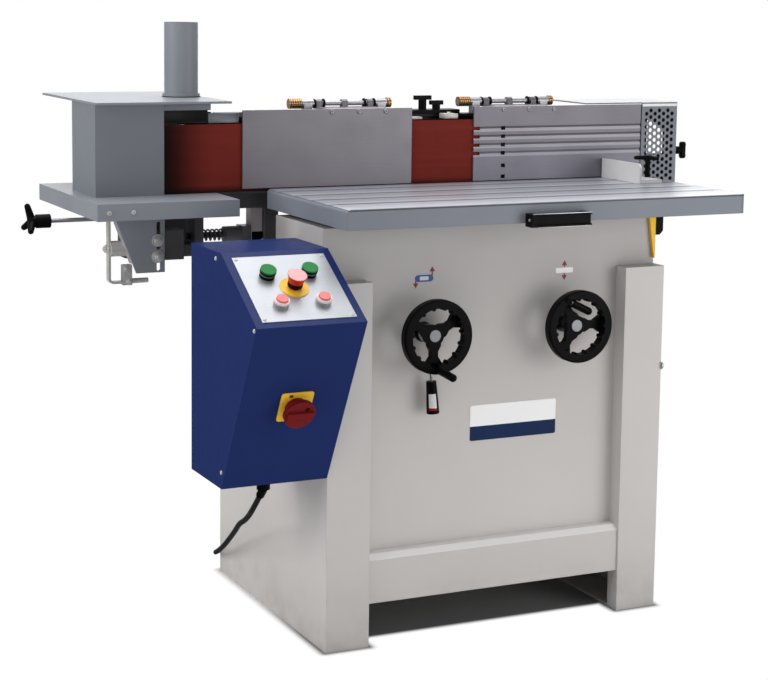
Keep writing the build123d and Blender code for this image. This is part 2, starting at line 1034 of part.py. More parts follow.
def hand_wheel(x, spoke_angle):
    """A dished hand wheel with three spokes, a scalloped rim and the notch of its crank."""
    wheel_plane = Plane(origin=(x, wheel_back, wheel_height), x_dir=(1, 0, 0), z_dir=(0, -1, 0))
    with BuildSketch(wheel_plane.offset(rim_set), mode=Mode.PRIVATE) as rim:
        Circle(wheel_radius)
        Circle(rim_inner, mode=Mode.SUBTRACT)
        with PolarLocations(rim_inner + 0.5, scallop_count, start_angle=spoke_angle):
            Circle(scallop_radius)
    extrude(rim.sketch, amount=rim_depth)
    outer_edges = [e for e in edges() if e.geom_type == GeomType.CIRCLE and e.radius > wheel_radius - 0.1]
    fillet(outer_edges, radius=rim_round)
    spoke_run = rim_inner + scallop_radius
    spoke_side = [
        (0, spoke_root / 2),
        (hub_radius, spoke_root / 2),
        (spoke_waist_from, spoke_width / 2),
        (spoke_waist_to, spoke_width / 2),
        (rim_inner - 1, spoke_flare / 2),
        (spoke_run, spoke_flare / 2),
    ]
    with BuildSketch(wheel_plane.offset(spoke_set), mode=Mode.PRIVATE) as spokes:
        with PolarLocations(0, 3, start_angle=spoke_angle):
            Polygon(*spoke_side, *[(along, -side) for along, side in reversed(spoke_side)], align=None)
    extrude(spokes.sketch, amount=spoke_depth)
    rod_y(x, wheel_height, hub_front, wheel_back, hub_radius)
    pivot = pivot_frame(x, spoke_angle)
    slot_half = crank_knuckle_radius + 1.5
    block_on(
        pivot,
        0,
        0,
        -slot_half,
        crank_sink + 1,
        crank_knuckle + 2 * seat,
        2 * slot_half,
        Mode.SUBTRACT,
    )
    block_on(
        pivot,
        0,
        (slot_half + crank_pocket_start) / 2,
        -crank_neck_radius - 1,
        crank_sink + 1,
        crank_knuckle + 2 * seat,
        crank_pocket_start - slot_half + 2,
        Mode.SUBTRACT,
    )
    block_on(
        pivot,
        0,
        (crank_pocket_start + crank_pocket_end) / 2,
        -crank_grip_radius - 0.8,
        crank_sink + 1,
        2 * crank_grip_radius + 2,
        crank_pocket_end - crank_pocket_start,
        Mode.SUBTRACT,
    )
    with Locations(pivot):
        Cylinder(
            crank_pin_radius + run,
            crank_knuckle + 2 * crank_lug + 4,
            rotation=(0, 90, 0),
            mode=Mode.SUBTRACT,
        )
    rod_y(x, wheel_height, hub_front, wheel_back, shaft_radius + press, Mode.SUBTRACT)


def crank(x, spoke_angle, folded):
    """A fold-away crank: knuckle, pin, neck and grip."""
    pivot = pivot_frame(x, spoke_angle)
    pin_length = crank_knuckle + 2 * (crank_lug + seat)
    with Locations(pivot):
        Cylinder(crank_knuckle_radius, crank_knuckle, rotation=(0, 90, 0))
        Cylinder(crank_pin_radius, pin_length, rotation=(0, 90, 0))
    droop = math.radians(crank_droop)
    reach = pivot.y_dir if folded else pivot.z_dir * math.cos(droop) - pivot.y_dir * math.sin(droop)
    lie = Plane(origin=pivot.origin, x_dir=pivot.x_dir, z_dir=reach)
    rod_on(lie, 0, 0, 0, crank_neck + 1, crank_neck_radius)
    rod_on(lie, 0, 0, crank_neck, crank_neck + crank_grip - crank_grip_radius, crank_grip_radius)
    with Locations(lie):
        with Locations((0, 0, crank_neck + crank_grip - crank_grip_radius)):
            Sphere(crank_grip_radius)


# Tilt hand wheel, at the left
with BuildPart() as tilt_handwheel:
    hand_wheel(tilt_wheel_x, tilt_spoke_angle)
tilt_handwheel.part.label = "tilt_handwheel"
export_step(tilt_handwheel.part, "parts/tilt_handwheel.step")

with BuildPart() as tilt_shaft:
    wheel_shaft(tilt_wheel_x, drum_y)
tilt_shaft.part.label = "tilt_shaft"
export_step(tilt_shaft.part, "parts/tilt_shaft.step")

with BuildPart() as tilt_crank:
    crank(tilt_wheel_x, tilt_spoke_angle, False)
tilt_crank.part.label = "tilt_crank"
export_step(tilt_crank.part, "parts/tilt_crank.step")

with BuildPart() as tilt_screw:
    wheel_screw(tilt_wheel_x, drum_y, wheel_height + gear_inner, tilt_screw_top)
tilt_screw.part.label = "tilt_screw"
export_step(tilt_screw.part, "parts/tilt_screw.step")

# Lift hand wheel, at the right
with BuildPart() as lift_handwheel:
    hand_wheel(lift_wheel_x, lift_spoke_angle)
lift_handwheel.part.label = "lift_handwheel"
export_step(lift_handwheel.part, "parts/lift_handwheel.step")

with BuildPart() as lift_shaft:
    wheel_shaft(lift_wheel_x, column_y)
lift_shaft.part.label = "lift_shaft"
export_step(lift_shaft.part, "parts/lift_shaft.step")

with BuildPart() as lift_crank:
    crank(lift_wheel_x, lift_spoke_angle, True)
lift_crank.part.label = "lift_crank"
export_step(lift_crank.part, "parts/lift_crank.step")

with BuildPart() as lift_screw:
    wheel_screw(lift_wheel_x, column_y, shelf_top + lift_foot_floor + seat, lift_screw_top)
lift_screw.part.label = "lift_screw"
export_step(lift_screw.part, "parts/lift_screw.step")

# Clamp lever on the nose of the tilt bush
clamp_back = panel_y - bush_flange_depth - clamp_set
clamp_front = clamp_back - clamp_hub_depth
clamp_y = (clamp_back + clamp_front) / 2
clamp_tilt = math.radians(clamp_lean)
clamp_plane = Plane(
    origin=(tilt_wheel_x, clamp_y, wheel_height),
    x_dir=(0, 1, 0),
    z_dir=(math.sin(clamp_tilt), 0, -math.cos(clamp_tilt)),
)
clamp_grip_top = clamp_reach - clamp_grip_length
with BuildPart() as clamp_rod:
    rod_y(tilt_wheel_x, wheel_height, clamp_front, clamp_back, clamp_hub_radius)
    rod_on(clamp_plane, 0, 0, 0, clamp_rod_length, clamp_rod_radius)
    rod_y(
        tilt_wheel_x,
        wheel_height,
        clamp_front,
        clamp_back,
        bush_nose_radius + run,
        Mode.SUBTRACT,
    )
clamp_rod.part.label = "clamp_rod"
export_step(clamp_rod.part, "parts/clamp_rod.step")

with BuildPart() as clamp_grip:
    with Locations(clamp_plane):
        with Locations((0, 0, clamp_grip_top + clamp_grip_length / 2)):
            Cone(clamp_grip_narrow, clamp_grip_wide, clamp_grip_length)
    rod_on(
        clamp_plane,
        0,
        0,
        clamp_grip_top,
        clamp_rod_length + press,
        clamp_rod_radius + press,
        Mode.SUBTRACT,
    )
clamp_grip.part.label = "clamp_grip"
export_step(clamp_grip.part, "parts/clamp_grip.step")

# Control box: a folded wedge, hollow, with holes for its controls and cables
box_profile = [
    (box_back_y, box_top),
    (box_top_y, box_top),
    (box_knee_y, box_knee_z),
    (box_foot_y, box_bottom),
    (box_back_y, box_bottom),
]
button_hole = button_radius + button_gap
button_deep = button_tail + 10
button_places = [
    (-button_spacing / 2, -start_row),
    (button_spacing / 2, -start_row),
    (-button_spacing / 2, -stop_row),
    (button_spacing / 2, -stop_row),
]
estop_hole = estop_stem_radius + button_gap
switch_hole = switch_stem_radius + run
with BuildPart() as control_box:
    prism_x(box_profile, box_left, box_right)
    with BuildSketch(Plane.YZ.offset(box_left + box_wall)) as box_inside:
        with BuildLine():
            Polyline(*box_profile, close=True)
        make_face()
        offset(amount=-box_wall, kind=Kind.INTERSECTION, mode=Mode.REPLACE)
    extrude(amount=box_width - 2 * box_wall, mode=Mode.SUBTRACT)
    for place_x, place_y in button_places:
        rod_on(panel_plane, place_x, place_y, -button_deep, 1, button_hole, Mode.SUBTRACT)
    rod_on(panel_plane, 0, -estop_row, -button_deep, 1, estop_hole, Mode.SUBTRACT)
    rod_on(switch_plane, switch_side, -switch_row, -button_deep, 1, switch_hole, Mode.SUBTRACT)
    for gland_place, gland_depth in gland_places:
        rod_z(
            gland_place,
            gland_depth,
            box_bottom,
            box_bottom + box_wall,
            gland_thread_radius + press,
            Mode.SUBTRACT,
        )
control_box.part.label = "control_box"
export_step(control_box.part, "parts/control_box.step")

# Control plate with the bezels of the four buttons and the collar of the emergency stop
plate_mid = plate_from_edge + plate_length / 2
bezel_radius = button_radius + bezel_wall
bezel_base = plate_thickness
collar_base = plate_thickness + estop_disc_thickness
with BuildPart() as control_plate:
    block_on(panel_plane, 0, -plate_mid, 0, plate_thickness, plate_width, plate_length)
    for place_x, place_y in button_places:
        tall = start_bezel_height if place_y == -start_row else stop_bezel_height
        rod_on(panel_plane, place_x, place_y, bezel_base, bezel_base + tall, bezel_radius)
        rod_on(panel_plane, place_x, place_y, 0, bezel_base + tall, button_hole, Mode.SUBTRACT)
    rod_on(panel_plane, 0, -estop_row, 0, plate_thickness, estop_hole, Mode.SUBTRACT)
control_plate.part.label = "control_plate"
export_step(control_plate.part, "parts/control_plate.step")

# Yellow plates behind the emergency stop and the main switch
with BuildPart() as switch_plates:
    rod_on(panel_plane, 0, -estop_row, bezel_base, collar_base, estop_disc_radius)
    rod_on(panel_plane, 0, -estop_row, bezel_base, collar_base, estop_hole, Mode.SUBTRACT)
    with BuildSketch(switch_plane, mode=Mode.PRIVATE) as switch_face:
        with Locations((switch_side, -switch_row)):
            RectangleRounded(switch_plate_width, switch_plate_length, switch_plate_corner)
            Circle(switch_hole, mode=Mode.SUBTRACT)
    extrude(switch_face.sketch, amount=switch_plate_thickness)
switch_plates.part.label = "switch_plates"
export_step(switch_plates.part, "parts/switch_plates.step")


def start_button(x):
    """A start button with a broad head over its bezel."""
    head_base = bezel_base + start_bezel_height + button_travel + seat
    rod_on(panel_plane, x, -start_row, -button_tail, head_base, button_radius)
    rod_on(panel_plane, x, -start_row, head_base, head_base + start_head_height, start_head_radius)
    rod_on(
        panel_plane,
        x,
        -start_row,
        -button_tail,
        -box_wall - seat - 2,
        button_radius + bezel_wall,
    )


def stop_button(x):
    """A stop button that sits inside its bezel."""
    cap_top = bezel_base + stop_bezel_height + button_travel
    rod_on(panel_plane, x, -stop_row, -button_tail, cap_top, button_radius)
    rod_on(
        panel_plane,
        x,
        -stop_row,
        -button_tail,
        -box_wall - seat - 2,
        button_radius + bezel_wall,
    )


with BuildPart() as start_button_left:
    start_button(-button_spacing / 2)
start_button_left.part.label = "start_button_left"
export_step(start_button_left.part, "parts/start_button_left.step")

with BuildPart() as start_button_right:
    start_button(button_spacing / 2)
start_button_right.part.label = "start_button_right"
export_step(start_button_right.part, "parts/start_button_right.step")

with BuildPart() as stop_button_left:
    stop_button(-button_spacing / 2)
stop_button_left.part.label = "stop_button_left"
export_step(stop_button_left.part, "parts/stop_button_left.step")

with BuildPart() as stop_button_right:
    stop_button(button_spacing / 2)
stop_button_right.part.label = "stop_button_right"
export_step(stop_button_right.part, "parts/stop_button_right.step")

# Emergency stop: a mushroom on a stem
estop_base = collar_base + estop_travel + seat
with BuildPart() as estop_button:
    rod_on(panel_plane, 0, -estop_row, -button_tail, estop_base + 1, estop_stem_radius)
    rod_on(
        panel_plane,
        0,
        -estop_row,
        estop_base,
        estop_base + estop_collar_height,
        estop_collar_radius,
    )
    with Locations(panel_plane):
        with Locations(
            (0, -estop_row, estop_base + estop_collar_height + estop_head_height / 2)
        ):
            Cone(estop_neck_radius, estop_head_radius, estop_head_height)
    rod_on(
        panel_plane,
        0,
        -estop_row,
        -button_tail,
        -box_wall - seat - 2,
        estop_stem_radius + bezel_wall,
    )
estop_button.part.label = "estop_button"
export_step(estop_button.part, "parts/estop_button.step")

# Main switch: a round knob on a neck, with a grip bar
switch_base = switch_plate_thickness + seat
disc_base = switch_base + switch_neck
with BuildPart() as main_switch:
    rod_on(switch_plane, switch_side, -switch_row, -button_tail, switch_base + 1, switch_stem_radius)
    rod_on(switch_plane, switch_side, -switch_row, switch_base, disc_base + 1, switch_neck_radius)
    rod_on(switch_plane, switch_side, -switch_row, disc_base, disc_base + switch_disc, switch_radius)
    block_on(
        switch_plane,
        switch_side,
        -switch_row,
        disc_base,
        disc_base + switch_disc + switch_bar_height,
        2 * switch_radius - 10,
        switch_bar_width,
    )
    rod_on(
        switch_plane,
        switch_side,
        -switch_row,
        -button_tail,
        -box_wall - seat,
        switch_stem_radius + bezel_wall,
    )
main_switch.part.label = "main_switch"
export_step(main_switch.part, "parts/main_switch.step")

# Cable glands: an angled one and a spare under the box, and one at the back of the leg
gland_lean = Plane(
    origin=(gland_x, gland_y, box_bottom - gland_height),
    x_dir=(1, 0, 0),
    z_dir=(0, 1, -1),
)
rear_gland_y = back - leg_sheet + rear_gland_reach
rear_gland_lean = Plane(
    origin=(rear_gland_x, rear_gland_y, rear_gland_z),
    x_dir=(0, 1, 0),
    z_dir=(-1, 0, 0),
)
with BuildPart() as cable_glands:
    for gland_place, gland_depth in gland_places:
        rod_z(gland_place, gland_depth, box_bottom - gland_height, box_bottom, gland_radius)
        rod_z(
            gland_place,
            gland_depth,
            box_bottom - 1,
            box_bottom + gland_thread,
            gland_thread_radius,
        )
    with Locations((gland_x, gland_y, box_bottom - gland_height)):
        Sphere(gland_nose_radius)
    rod_on(gland_lean, 0, 0, 0, gland_nose, gland_nose_radius)
    rod_y(
        rear_gland_x,
        rear_gland_z,
        back - leg_sheet,
        back - leg_sheet + gland_height,
        gland_radius,
    )
    rod_y(rear_gland_x, rear_gland_z, rear_in, rear_gland_y, gland_nose_radius)
    with Locations((rear_gland_x, rear_gland_y, rear_gland_z)):
        Sphere(gland_nose_radius)
    rod_on(rear_gland_lean, 0, 0, 0, gland_nose, gland_nose_radius)
cable_glands.part.label = "cable_glands"
export_step(cable_glands.part, "parts/cable_glands.step")

# Cable from the control box round the back of the left leg
gland_step = gland_nose / math.sqrt(2)
cable_from = (gland_x, gland_y + gland_step, box_bottom - gland_height - gland_step)
cable_to = (rear_gland_x - gland_nose, rear_gland_y, rear_gland_z)
cable_shares = [
    (0.0833, 0.2069, 0.2946),
    (0.1852, 0.3469, 0.3981),
    (0.2917, 0.4868, 0.5437),
    (0.3843, 0.6190, 0.6764),
    (0.4491, 0.7356, 0.8059),
    (0.5046, 0.8476, 0.9159),
    (0.5556, 0.9378, 0.9903),
    (0.7407, 1.0, 1.0),
]
cable_first = cable_run / math.sqrt(2)
cable_points = [cable_from, (gland_x, cable_from[1] + cable_first, cable_from[2] - cable_first)]
for shares in cable_shares:
    cable_points.append(tuple(a + s * (b - a) for a, b, s in zip(cable_from, cable_to, shares)))
cable_points.append(cable_to)
print("cable route", [tuple(round(v, 2) for v in p) for p in cable_points])


def bend_radius(before, corner, after):
    """The radius of the arc at a corner of the cable's route."""
    into = Vector(*corner) - Vector(*before)
    out = Vector(*after) - Vector(*corner)
    turn = math.radians(into.get_angle(out))
    return 0.45 * min(into.length, out.length) / math.tan(turn / 2)


cable_radii = [
    bend_radius(cable_points[i - 1], cable_points[i], cable_points[i + 1])
    for i in range(1, len(cable_points) - 1)
]
with BuildPart() as motor_cable:
    with BuildLine() as cable_path:
        FilletPolyline(*cable_points, radius=cable_radii)
    cable_start = Vector(*cable_points[1]) - Vector(*cable_points[0])
    with BuildSketch(Plane(origin=cable_points[0], z_dir=cable_start)):
        Circle(cable_radius)
    sweep(path=cable_path.wire())
cable_length = cable_path.wire().length
print("cable radii", [round(r, 1) for r in cable_radii])
print("cable length", round(cable_length, 1))
print("cable volume ratio", motor_cable.part.volume / (math.pi * cable_radius**2 * cable_length))
motor_cable.part.label = "motor_cable"
export_step(motor_cable.part, "parts/motor_cable.step")

# Table: a ribbed casting with grooves along its top
table_outline = [
    (table_left, table_front),
    (table_right, table_front),
    (table_right, table_notch_y),
    (table_notch_x, table_notch_y),
    (table_notch_x, table_back),
    (table_left, table_back),
]
rib_count_x = int((table_right - table_left - 2 * apron_wall) / rib_pitch_x)
with BuildPart() as table_top:
    with BuildSketch(Plane.XY.offset(apron_bottom)) as table_face:
        with BuildLine():
            Polyline(*table_outline, close=True)
        make_face()
        fillet(table_face.vertices().group_by(Axis.X)[-1], radius=table_corner)
    extrude(amount=apron_height)
    left_edges = edges().filter_by(Axis.Y).group_by(Axis.X)[0]
    fillet(left_edges.sort_by(Axis.Z)[-1], radius=table_edge)
    with BuildSketch(Plane.XY.offset(apron_bottom)) as table_hollow:
        with BuildLine():
            Polyline(*table_outline, close=True)
        make_face()
        offset(amount=-apron_wall, kind=Kind.INTERSECTION, mode=Mode.REPLACE)
        fillet(
            table_hollow.vertices().group_by(Axis.X)[-1], radius=table_corner - apron_wall
        )
    extrude(amount=apron_height - table_plate, mode=Mode.SUBTRACT)
    for i in range(1, rib_count_x + 1):
        rib_x = table_left + apron_wall + i * rib_pitch_x
        if rib_x + rib_wall < table_notch_x:
            block(
                rib_x - rib_wall / 2,
                rib_x + rib_wall / 2,
                table_front + apron_wall / 2,
                table_back - apron_wall / 2,
                table_under - rib_drop,
                table_under,
            )
    for i in (1, 2):
        rib_y = table_front + i * rib_pitch_y
        block(
            table_left + apron_wall / 2,
            table_notch_x - apron_wall / 2,
            rib_y - rib_wall / 2,
            rib_y + rib_wall / 2,
            table_under - rib_drop,
            table_under,
        )
    for boss_x, boss_radius in (
        (-column_x, column_radius),
        (column_x, column_radius),
        (lift_wheel_x, nut_radius),
    ):
        rod_z(
            boss_x,
            column_y,
            table_under - rib_drop,
            table_under,
            boss_radius + 1,
            Mode.SUBTRACT,
        )
    for i in range(groove_count):
        groove_y = groove_first - i * groove_pitch
        groove_right = (table_notch_x if groove_y > table_notch_y else table_right) - groove_end
        block(
            table_left + groove_end,
            groove_right,
            groove_y - groove_width / 2,
            groove_y + groove_width / 2,
            table_top_z - groove_depth,
            table_top_z,
            Mode.SUBTRACT,
        )
table_top.part.label = "table_top"
export_step(table_top.part, "parts/table_top.step")

# Guide columns and lift nut under the table
with BuildPart() as table_columns:
    for column_side in (-column_x, column_x):
        rod_z(column_side, column_y, column_foot, table_under, column_radius)
    rod_z(lift_wheel_x, column_y, table_under - nut_length, table_under, nut_radius)
    rod_z(
        lift_wheel_x,
        column_y,
        table_under - nut_length,
        table_under - 2,
        shaft_radius + nut_gap,
        Mode.SUBTRACT,
    )
table_columns.part.label = "table_columns"
export_step(table_columns.part, "parts/table_columns.step")

# Grip bar on the front of the table
grip_right = grip_left + grip_length
grip_y = table_front - grip_reach
with BuildPart() as table_handle:
    block(grip_left, grip_left + grip_post, grip_y, table_front, grip_bottom, grip_bottom + grip_height)
    block(grip_right - grip_post, grip_right, grip_y, table_front, grip_bottom, grip_bottom + grip_height)
    block(grip_left, grip_right, grip_y, grip_y + grip_bar, grip_bottom, grip_bottom + grip_height)
    block(
        grip_left + grip_end,
        grip_right,
        grip_y,
        grip_y + grip_recess,
        grip_bottom + grip_lip,
        grip_bottom + grip_height - grip_lip,
        Mode.SUBTRACT,
    )
table_handle.part.label = "table_handle"
export_step(table_handle.part, "parts/table_handle.step")

# End stop: an angle plate keyed in the second groove
stop_base = table_top_z + seat
stop_top = stop_base + stop_height
key_y = groove_first - groove_pitch
key_half = groove_width / 2 - stop_key_gap
with BuildPart() as end_stop:
    prism_x(
        [
            (stop_front, stop_base),
            (stop_back, stop_base),
            (stop_back, stop_top),
            (stop_front + stop_chamfer, stop_top),
            (stop_front, stop_top - stop_chamfer),
        ],
        stop_x,
        stop_x + stop_thickness,
    )
    block(
        stop_x,
        stop_x + stop_foot_length,
        stop_front,
        stop_foot_back,
        stop_base,
        stop_base + stop_foot_thickness,
    )
    block(
        stop_x - stop_thickness,
        stop_x + stop_foot_length / 2,
        key_y - key_half,
        key_y + key_half,
        stop_base - stop_key_drop,
        stop_base + 1,
    )
end_stop.part.label = "end_stop"
export_step(end_stop.part, "parts/end_stop.step")

stop_knob_z = stop_base + stop_foot_thickness + seat
star_base = stop_knob_z + stop_knob_rise
star_lie = Plane(origin=(stop_knob_x, stop_knob_y, star_base + star_height / 2))
with BuildPart() as stop_knob:
    rod_z(stop_knob_x, stop_knob_y, stop_knob_z, star_base + 1, stop_knob_stem)
    rod_z(stop_knob_x, stop_knob_y, star_base, star_base + star_height, star_hub)
    star_lobes(star_lie, star_reach, star_root, star_tip, 0, star_angle)
stop_knob.part.label = "stop_knob"
export_step(stop_knob.part, "parts/stop_knob.step")

# Table lock: a tapered lever on the cabinet head and a block at its side
lock_back = panel_y - seat
with BuildPart() as lock_lever:
    prism_y(
        [
            (lock_x - lock_half, lock_z + lock_rise),
            (lock_x + lock_half, lock_z + lock_rise),
            (lock_x + lock_half, lock_z - lock_drop),
            (lock_x + lock_half - lock_tip, lock_z - lock_drop),
        ],
        lock_back - lock_depth,
        lock_back,
    )
    rod_y(lock_x, lock_z, lock_back - 1, panel_in + lock_pin_tail, lock_pin_radius)
lock_lever.part.label = "lock_lever"
export_step(lock_lever.part, "parts/lock_lever.step")

lock_block_top = lock_block_bottom + lock_block_height
lock_block_y = panel_y + lock_block_inset
with BuildPart() as lock_bracket:
    prism_y(
        [
            (head_half, lock_block_bottom),
            (head_half, lock_block_top),
            (head_half + lock_block_width, lock_block_top),
            (head_half + lock_block_width, lock_block_bottom + lock_block_chamfer),
            (head_half + lock_block_width - lock_block_chamfer, lock_block_bottom),
        ],
        lock_block_y,
        lock_block_y + lock_block_depth,
    )
lock_bracket.part.label = "lock_bracket"
export_step(lock_bracket.part, "parts/lock_bracket.step")

# Beam of the belt unit, with its web, rail, housing, idler bracket and motor plate
motor_back = motor_y + motor_foot
motor_top = pulley_bottom - motor_gap
motor_bottom = motor_top - motor_length
end_plate_left = casting_left - end_plate_thickness
with BuildPart() as belt_beam:
    block(riser_left, beam_right, beam_front, beam_back, beam_bottom, beam_top)
    block(web_left, web_right, drum_y - web_thickness / 2, drum_y + web_thickness / 2, beam_top - 1, web_top)
    block(web_left + rail_end, web_right, drum_y - rail_width / 2, drum_y + rail_width / 2, web_top, rail_top)
    block(housing_left, beam_right, housing_front, housing_back, beam_bottom, beam_top + housing_rise)
    block(riser_left, riser_right, beam_front, beam_back, casting_bottom, beam_top)
    block(casting_left, riser_right, beam_front, beam_back, casting_bottom, casting_top)
    pad_front_y = gusset_front + gusset_sheet + seat
    block(pad_left, pad_right, pad_front_y, beam_front + 10, casting_bottom, casting_top)
    block(pad_left, pad_right, pad_front_y, beam_front, casting_bottom, pad_top)
    block(
        end_plate_left,
        casting_left,
        drum_y - end_plate_half,
        drum_y + end_plate_half,
        casting_bottom,
        beam_bottom,
    )
    block(
        -lug_half,
        lug_half,
        drum_y - lug_depth / 2,
        drum_y + lug_depth / 2,
        pivot_z - lug_half,
        beam_bottom,
    )
    block(
        tilt_wheel_x - nut_lug_half,
        tilt_wheel_x + nut_lug_half,
        drum_y - nut_lug_half,
        drum_y + nut_lug_half,
        beam_bottom - nut_lug_drop,
        beam_bottom,
    )
    block(
        motor_x - motor_plate_half,
        motor_x + motor_plate_half,
        beam_back - 1,
        motor_back + motor_plate,
        beam_bottom,
        beam_bottom + motor_plate,
    )
    block(
        motor_x - motor_plate_half,
        motor_x + motor_plate_half,
        motor_back,
        motor_back + motor_plate,
        motor_bottom,
        beam_bottom + motor_plate,
    )
    rod_y(
        0,
        pivot_z,
        drum_y - lug_depth / 2,
        drum_y + lug_depth / 2,
        pivot_radius + run,
        Mode.SUBTRACT,
    )
    rod_z(
        tilt_wheel_x,
        drum_y,
        beam_bottom - nut_lug_drop,
        beam_top - 4,
        shaft_radius + tilt_screw_play,
        Mode.SUBTRACT,
    )
    rod_z(drive_x, drum_y, beam_bottom, beam_top, axle_radius + run, Mode.SUBTRACT)
    rod_x(drum_y, push_rod_z, riser_left, riser_right, push_rod_radius + run, Mode.SUBTRACT)
    rod_x(
        drum_y,
        tension_rod_z,
        end_plate_left,
        casting_left,
        tension_rod_radius + run,
        Mode.SUBTRACT,
    )
belt_beam.part.label = "belt_beam"
export_step(belt_beam.part, "parts/belt_beam.step")

# Fittings on the beam: a band along the rail, the hanging bar with the spring seat, and a post
with BuildPart() as beam_fittings:
    block(band_left, band_right, drum_y - band_half, drum_y + band_half, rail_top, band_top)
    rod_x(drum_y, push_rod_z, spring_seat_left, spring_plate_left, spring_seat_radius)
    block(
        spring_plate_left,
        bar_left + 1,
        drum_y - spring_plate_half,
        drum_y + spring_plate_half,
        push_rod_z - spring_plate_half,
        push_rod_z + spring_plate_half,
    )
    block(
        bar_left,
        bar_left + bar_length,
        drum_y - bar_half,
        drum_y + bar_half,
        beam_bottom - bar_drop,
        beam_bottom,
    )
    block(
        post_left,
        post_left + post_length,
        drum_y - post_half,
        drum_y + post_half,
        beam_bottom - post_drop,
        beam_bottom,
    )
    rod_x(drum_y, push_rod_z, spring_seat_left, bar_left, spring_bore, Mode.SUBTRACT)
beam_fittings.part.label = "beam_fittings"
export_step(beam_fittings.part, "parts/beam_fittings.step")

# Platen with its slip pad and stays
pad_front = belt_front + belt_thickness + belt_clear
platen_front = pad_front + pad_thickness
platen_back = platen_front + platen_thickness
platen_mid = (platen_left + platen_right) / 2
stay_z = (belt_bottom + belt_top) / 2
with BuildPart() as platen:
    block(
        platen_left,
        platen_right,
        platen_front,
        platen_back,
        belt_bottom + platen_margin,
        belt_top - platen_margin,
    )
    for i in (-1, 0, 1):
        stay_x = platen_mid + i * stay_pitch
        block(
            stay_x - stay_width / 2,
            stay_x + stay_width / 2,
            platen_back,
            drum_y - web_thickness / 2,
            stay_z - stay_height / 2,
            stay_z + stay_height / 2,
        )
with BuildPart() as platen_pad:
    block(
        platen_left,
        platen_right,
        pad_front,
        platen_front,
        belt_bottom + platen_margin,
        belt_top - platen_margin,
    )
platen_group = Compound(children=[platen.part.solid(), platen_pad.part.solid()])
platen_group.label = "platen"
export_step(platen_group, "parts/platen.step")

# Sanding belt round both drums
belt_mid = (idler_x + drive_x) / 2
belt_span = drive_x - idler_x
with BuildPart() as sanding_belt:
    with BuildSketch(Plane.XY.offset(belt_bottom)):
        with Locations((belt_mid, drum_y)):
            SlotCenterToCenter(belt_span, 2 * belt_reach)
            SlotCenterToCenter(belt_span, 2 * (drum_radius + belt_clear), mode=Mode.SUBTRACT)
    extrude(amount=belt_width)
sanding_belt.part.label = "sanding_belt"
export_step(sanding_belt.part, "parts/sanding_belt.step")

# Drive drum with its shaft and pulley
with BuildPart() as drive_drum:
    rod_z(drive_x, drum_y, drum_bottom, drum_top, drum_radius)
    rod_z(drive_x, drum_y, pulley_bottom, drum_top + axle_rise, axle_radius)
    rod_z(drive_x, drum_y, pulley_bottom, pulley_top, pulley_radius)
drive_drum.part.label = "drive_drum"
export_step(drive_drum.part, "parts/drive_drum.step")

# Idler drum and the carriage that holds its axle
with BuildPart() as idler_drum:
    rod_z(idler_x, drum_y, drum_bottom, drum_top, drum_radius)
    rod_z(idler_x, drum_y, drum_bottom, drum_top, axle_radius + run, Mode.SUBTRACT)
idler_drum.part.label = "idler_drum"
export_step(idler_drum.part, "parts/idler_drum.step")

with BuildPart() as idler_carriage:
    block(
        carriage_left,
        carriage_right,
        drum_y - carriage_half,
        drum_y + carriage_half,
        casting_top + seat,
        carriage_top,
    )
    rod_z(idler_x, drum_y, carriage_top - 1, idler_arm_top, axle_radius)
    block(
        idler_arm_left,
        idler_arm_right,
        drum_y - carriage_half,
        drum_y + carriage_half,
        idler_arm_bottom,
        idler_arm_top,
    )
    rod_z(idler_x, drum_y, carriage_top - 1, drum_bottom - seat, axle_radius + 8)
    rod_x(drum_y, push_rod_z, carriage_right - 1, push_rod_end, push_rod_radius)
    rod_x(drum_y, push_rod_z, collar_left, collar_left + collar_thickness, collar_radius)
    rod_x(
        drum_y,
        tension_rod_z,
        carriage_left,
        tension_bore_end,
        tension_rod_radius + tension_bore_gap,
        Mode.SUBTRACT,
    )
idler_carriage.part.label = "idler_carriage"
export_step(idler_carriage.part, "parts/idler_carriage.step")

# Tension spring: one wire wound round the push rod
spring_from = collar_left + collar_thickness + spring_end_gap + spring_wire
spring_to = spring_seat_left - spring_end_gap - spring_wire
spring_pitch = (spring_to - spring_from) / spring_turns


def spring_point(turn):
    """A point of the spring's centre line after a number of turns."""
    angle = 2 * math.pi * turn
    return Vector(
        spring_from + spring_pitch * turn,
        drum_y + spring_coil * math.cos(angle),
        push_rod_z + spring_coil * math.sin(angle),
    )


def spring_tangent(turn):
    """The direction of the wire after a number of turns."""
    angle = 2 * math.pi * turn
    around = 2 * math.pi * spring_coil
    return Vector(
        spring_pitch, -around * math.sin(angle), around * math.cos(angle)
    ).normalized()


def arc_middle(start, tangent, end):
    """The middle of the arc that leaves start along tangent and reaches end."""
    chord = end - start
    along = chord.normalized()
    side = tangent - along * tangent.dot(along)
    rise = chord.length / 2 * math.tan(math.radians(tangent.get_angle(chord)) / 2)
    return start + chord * 0.5 + side.normalized() * rise


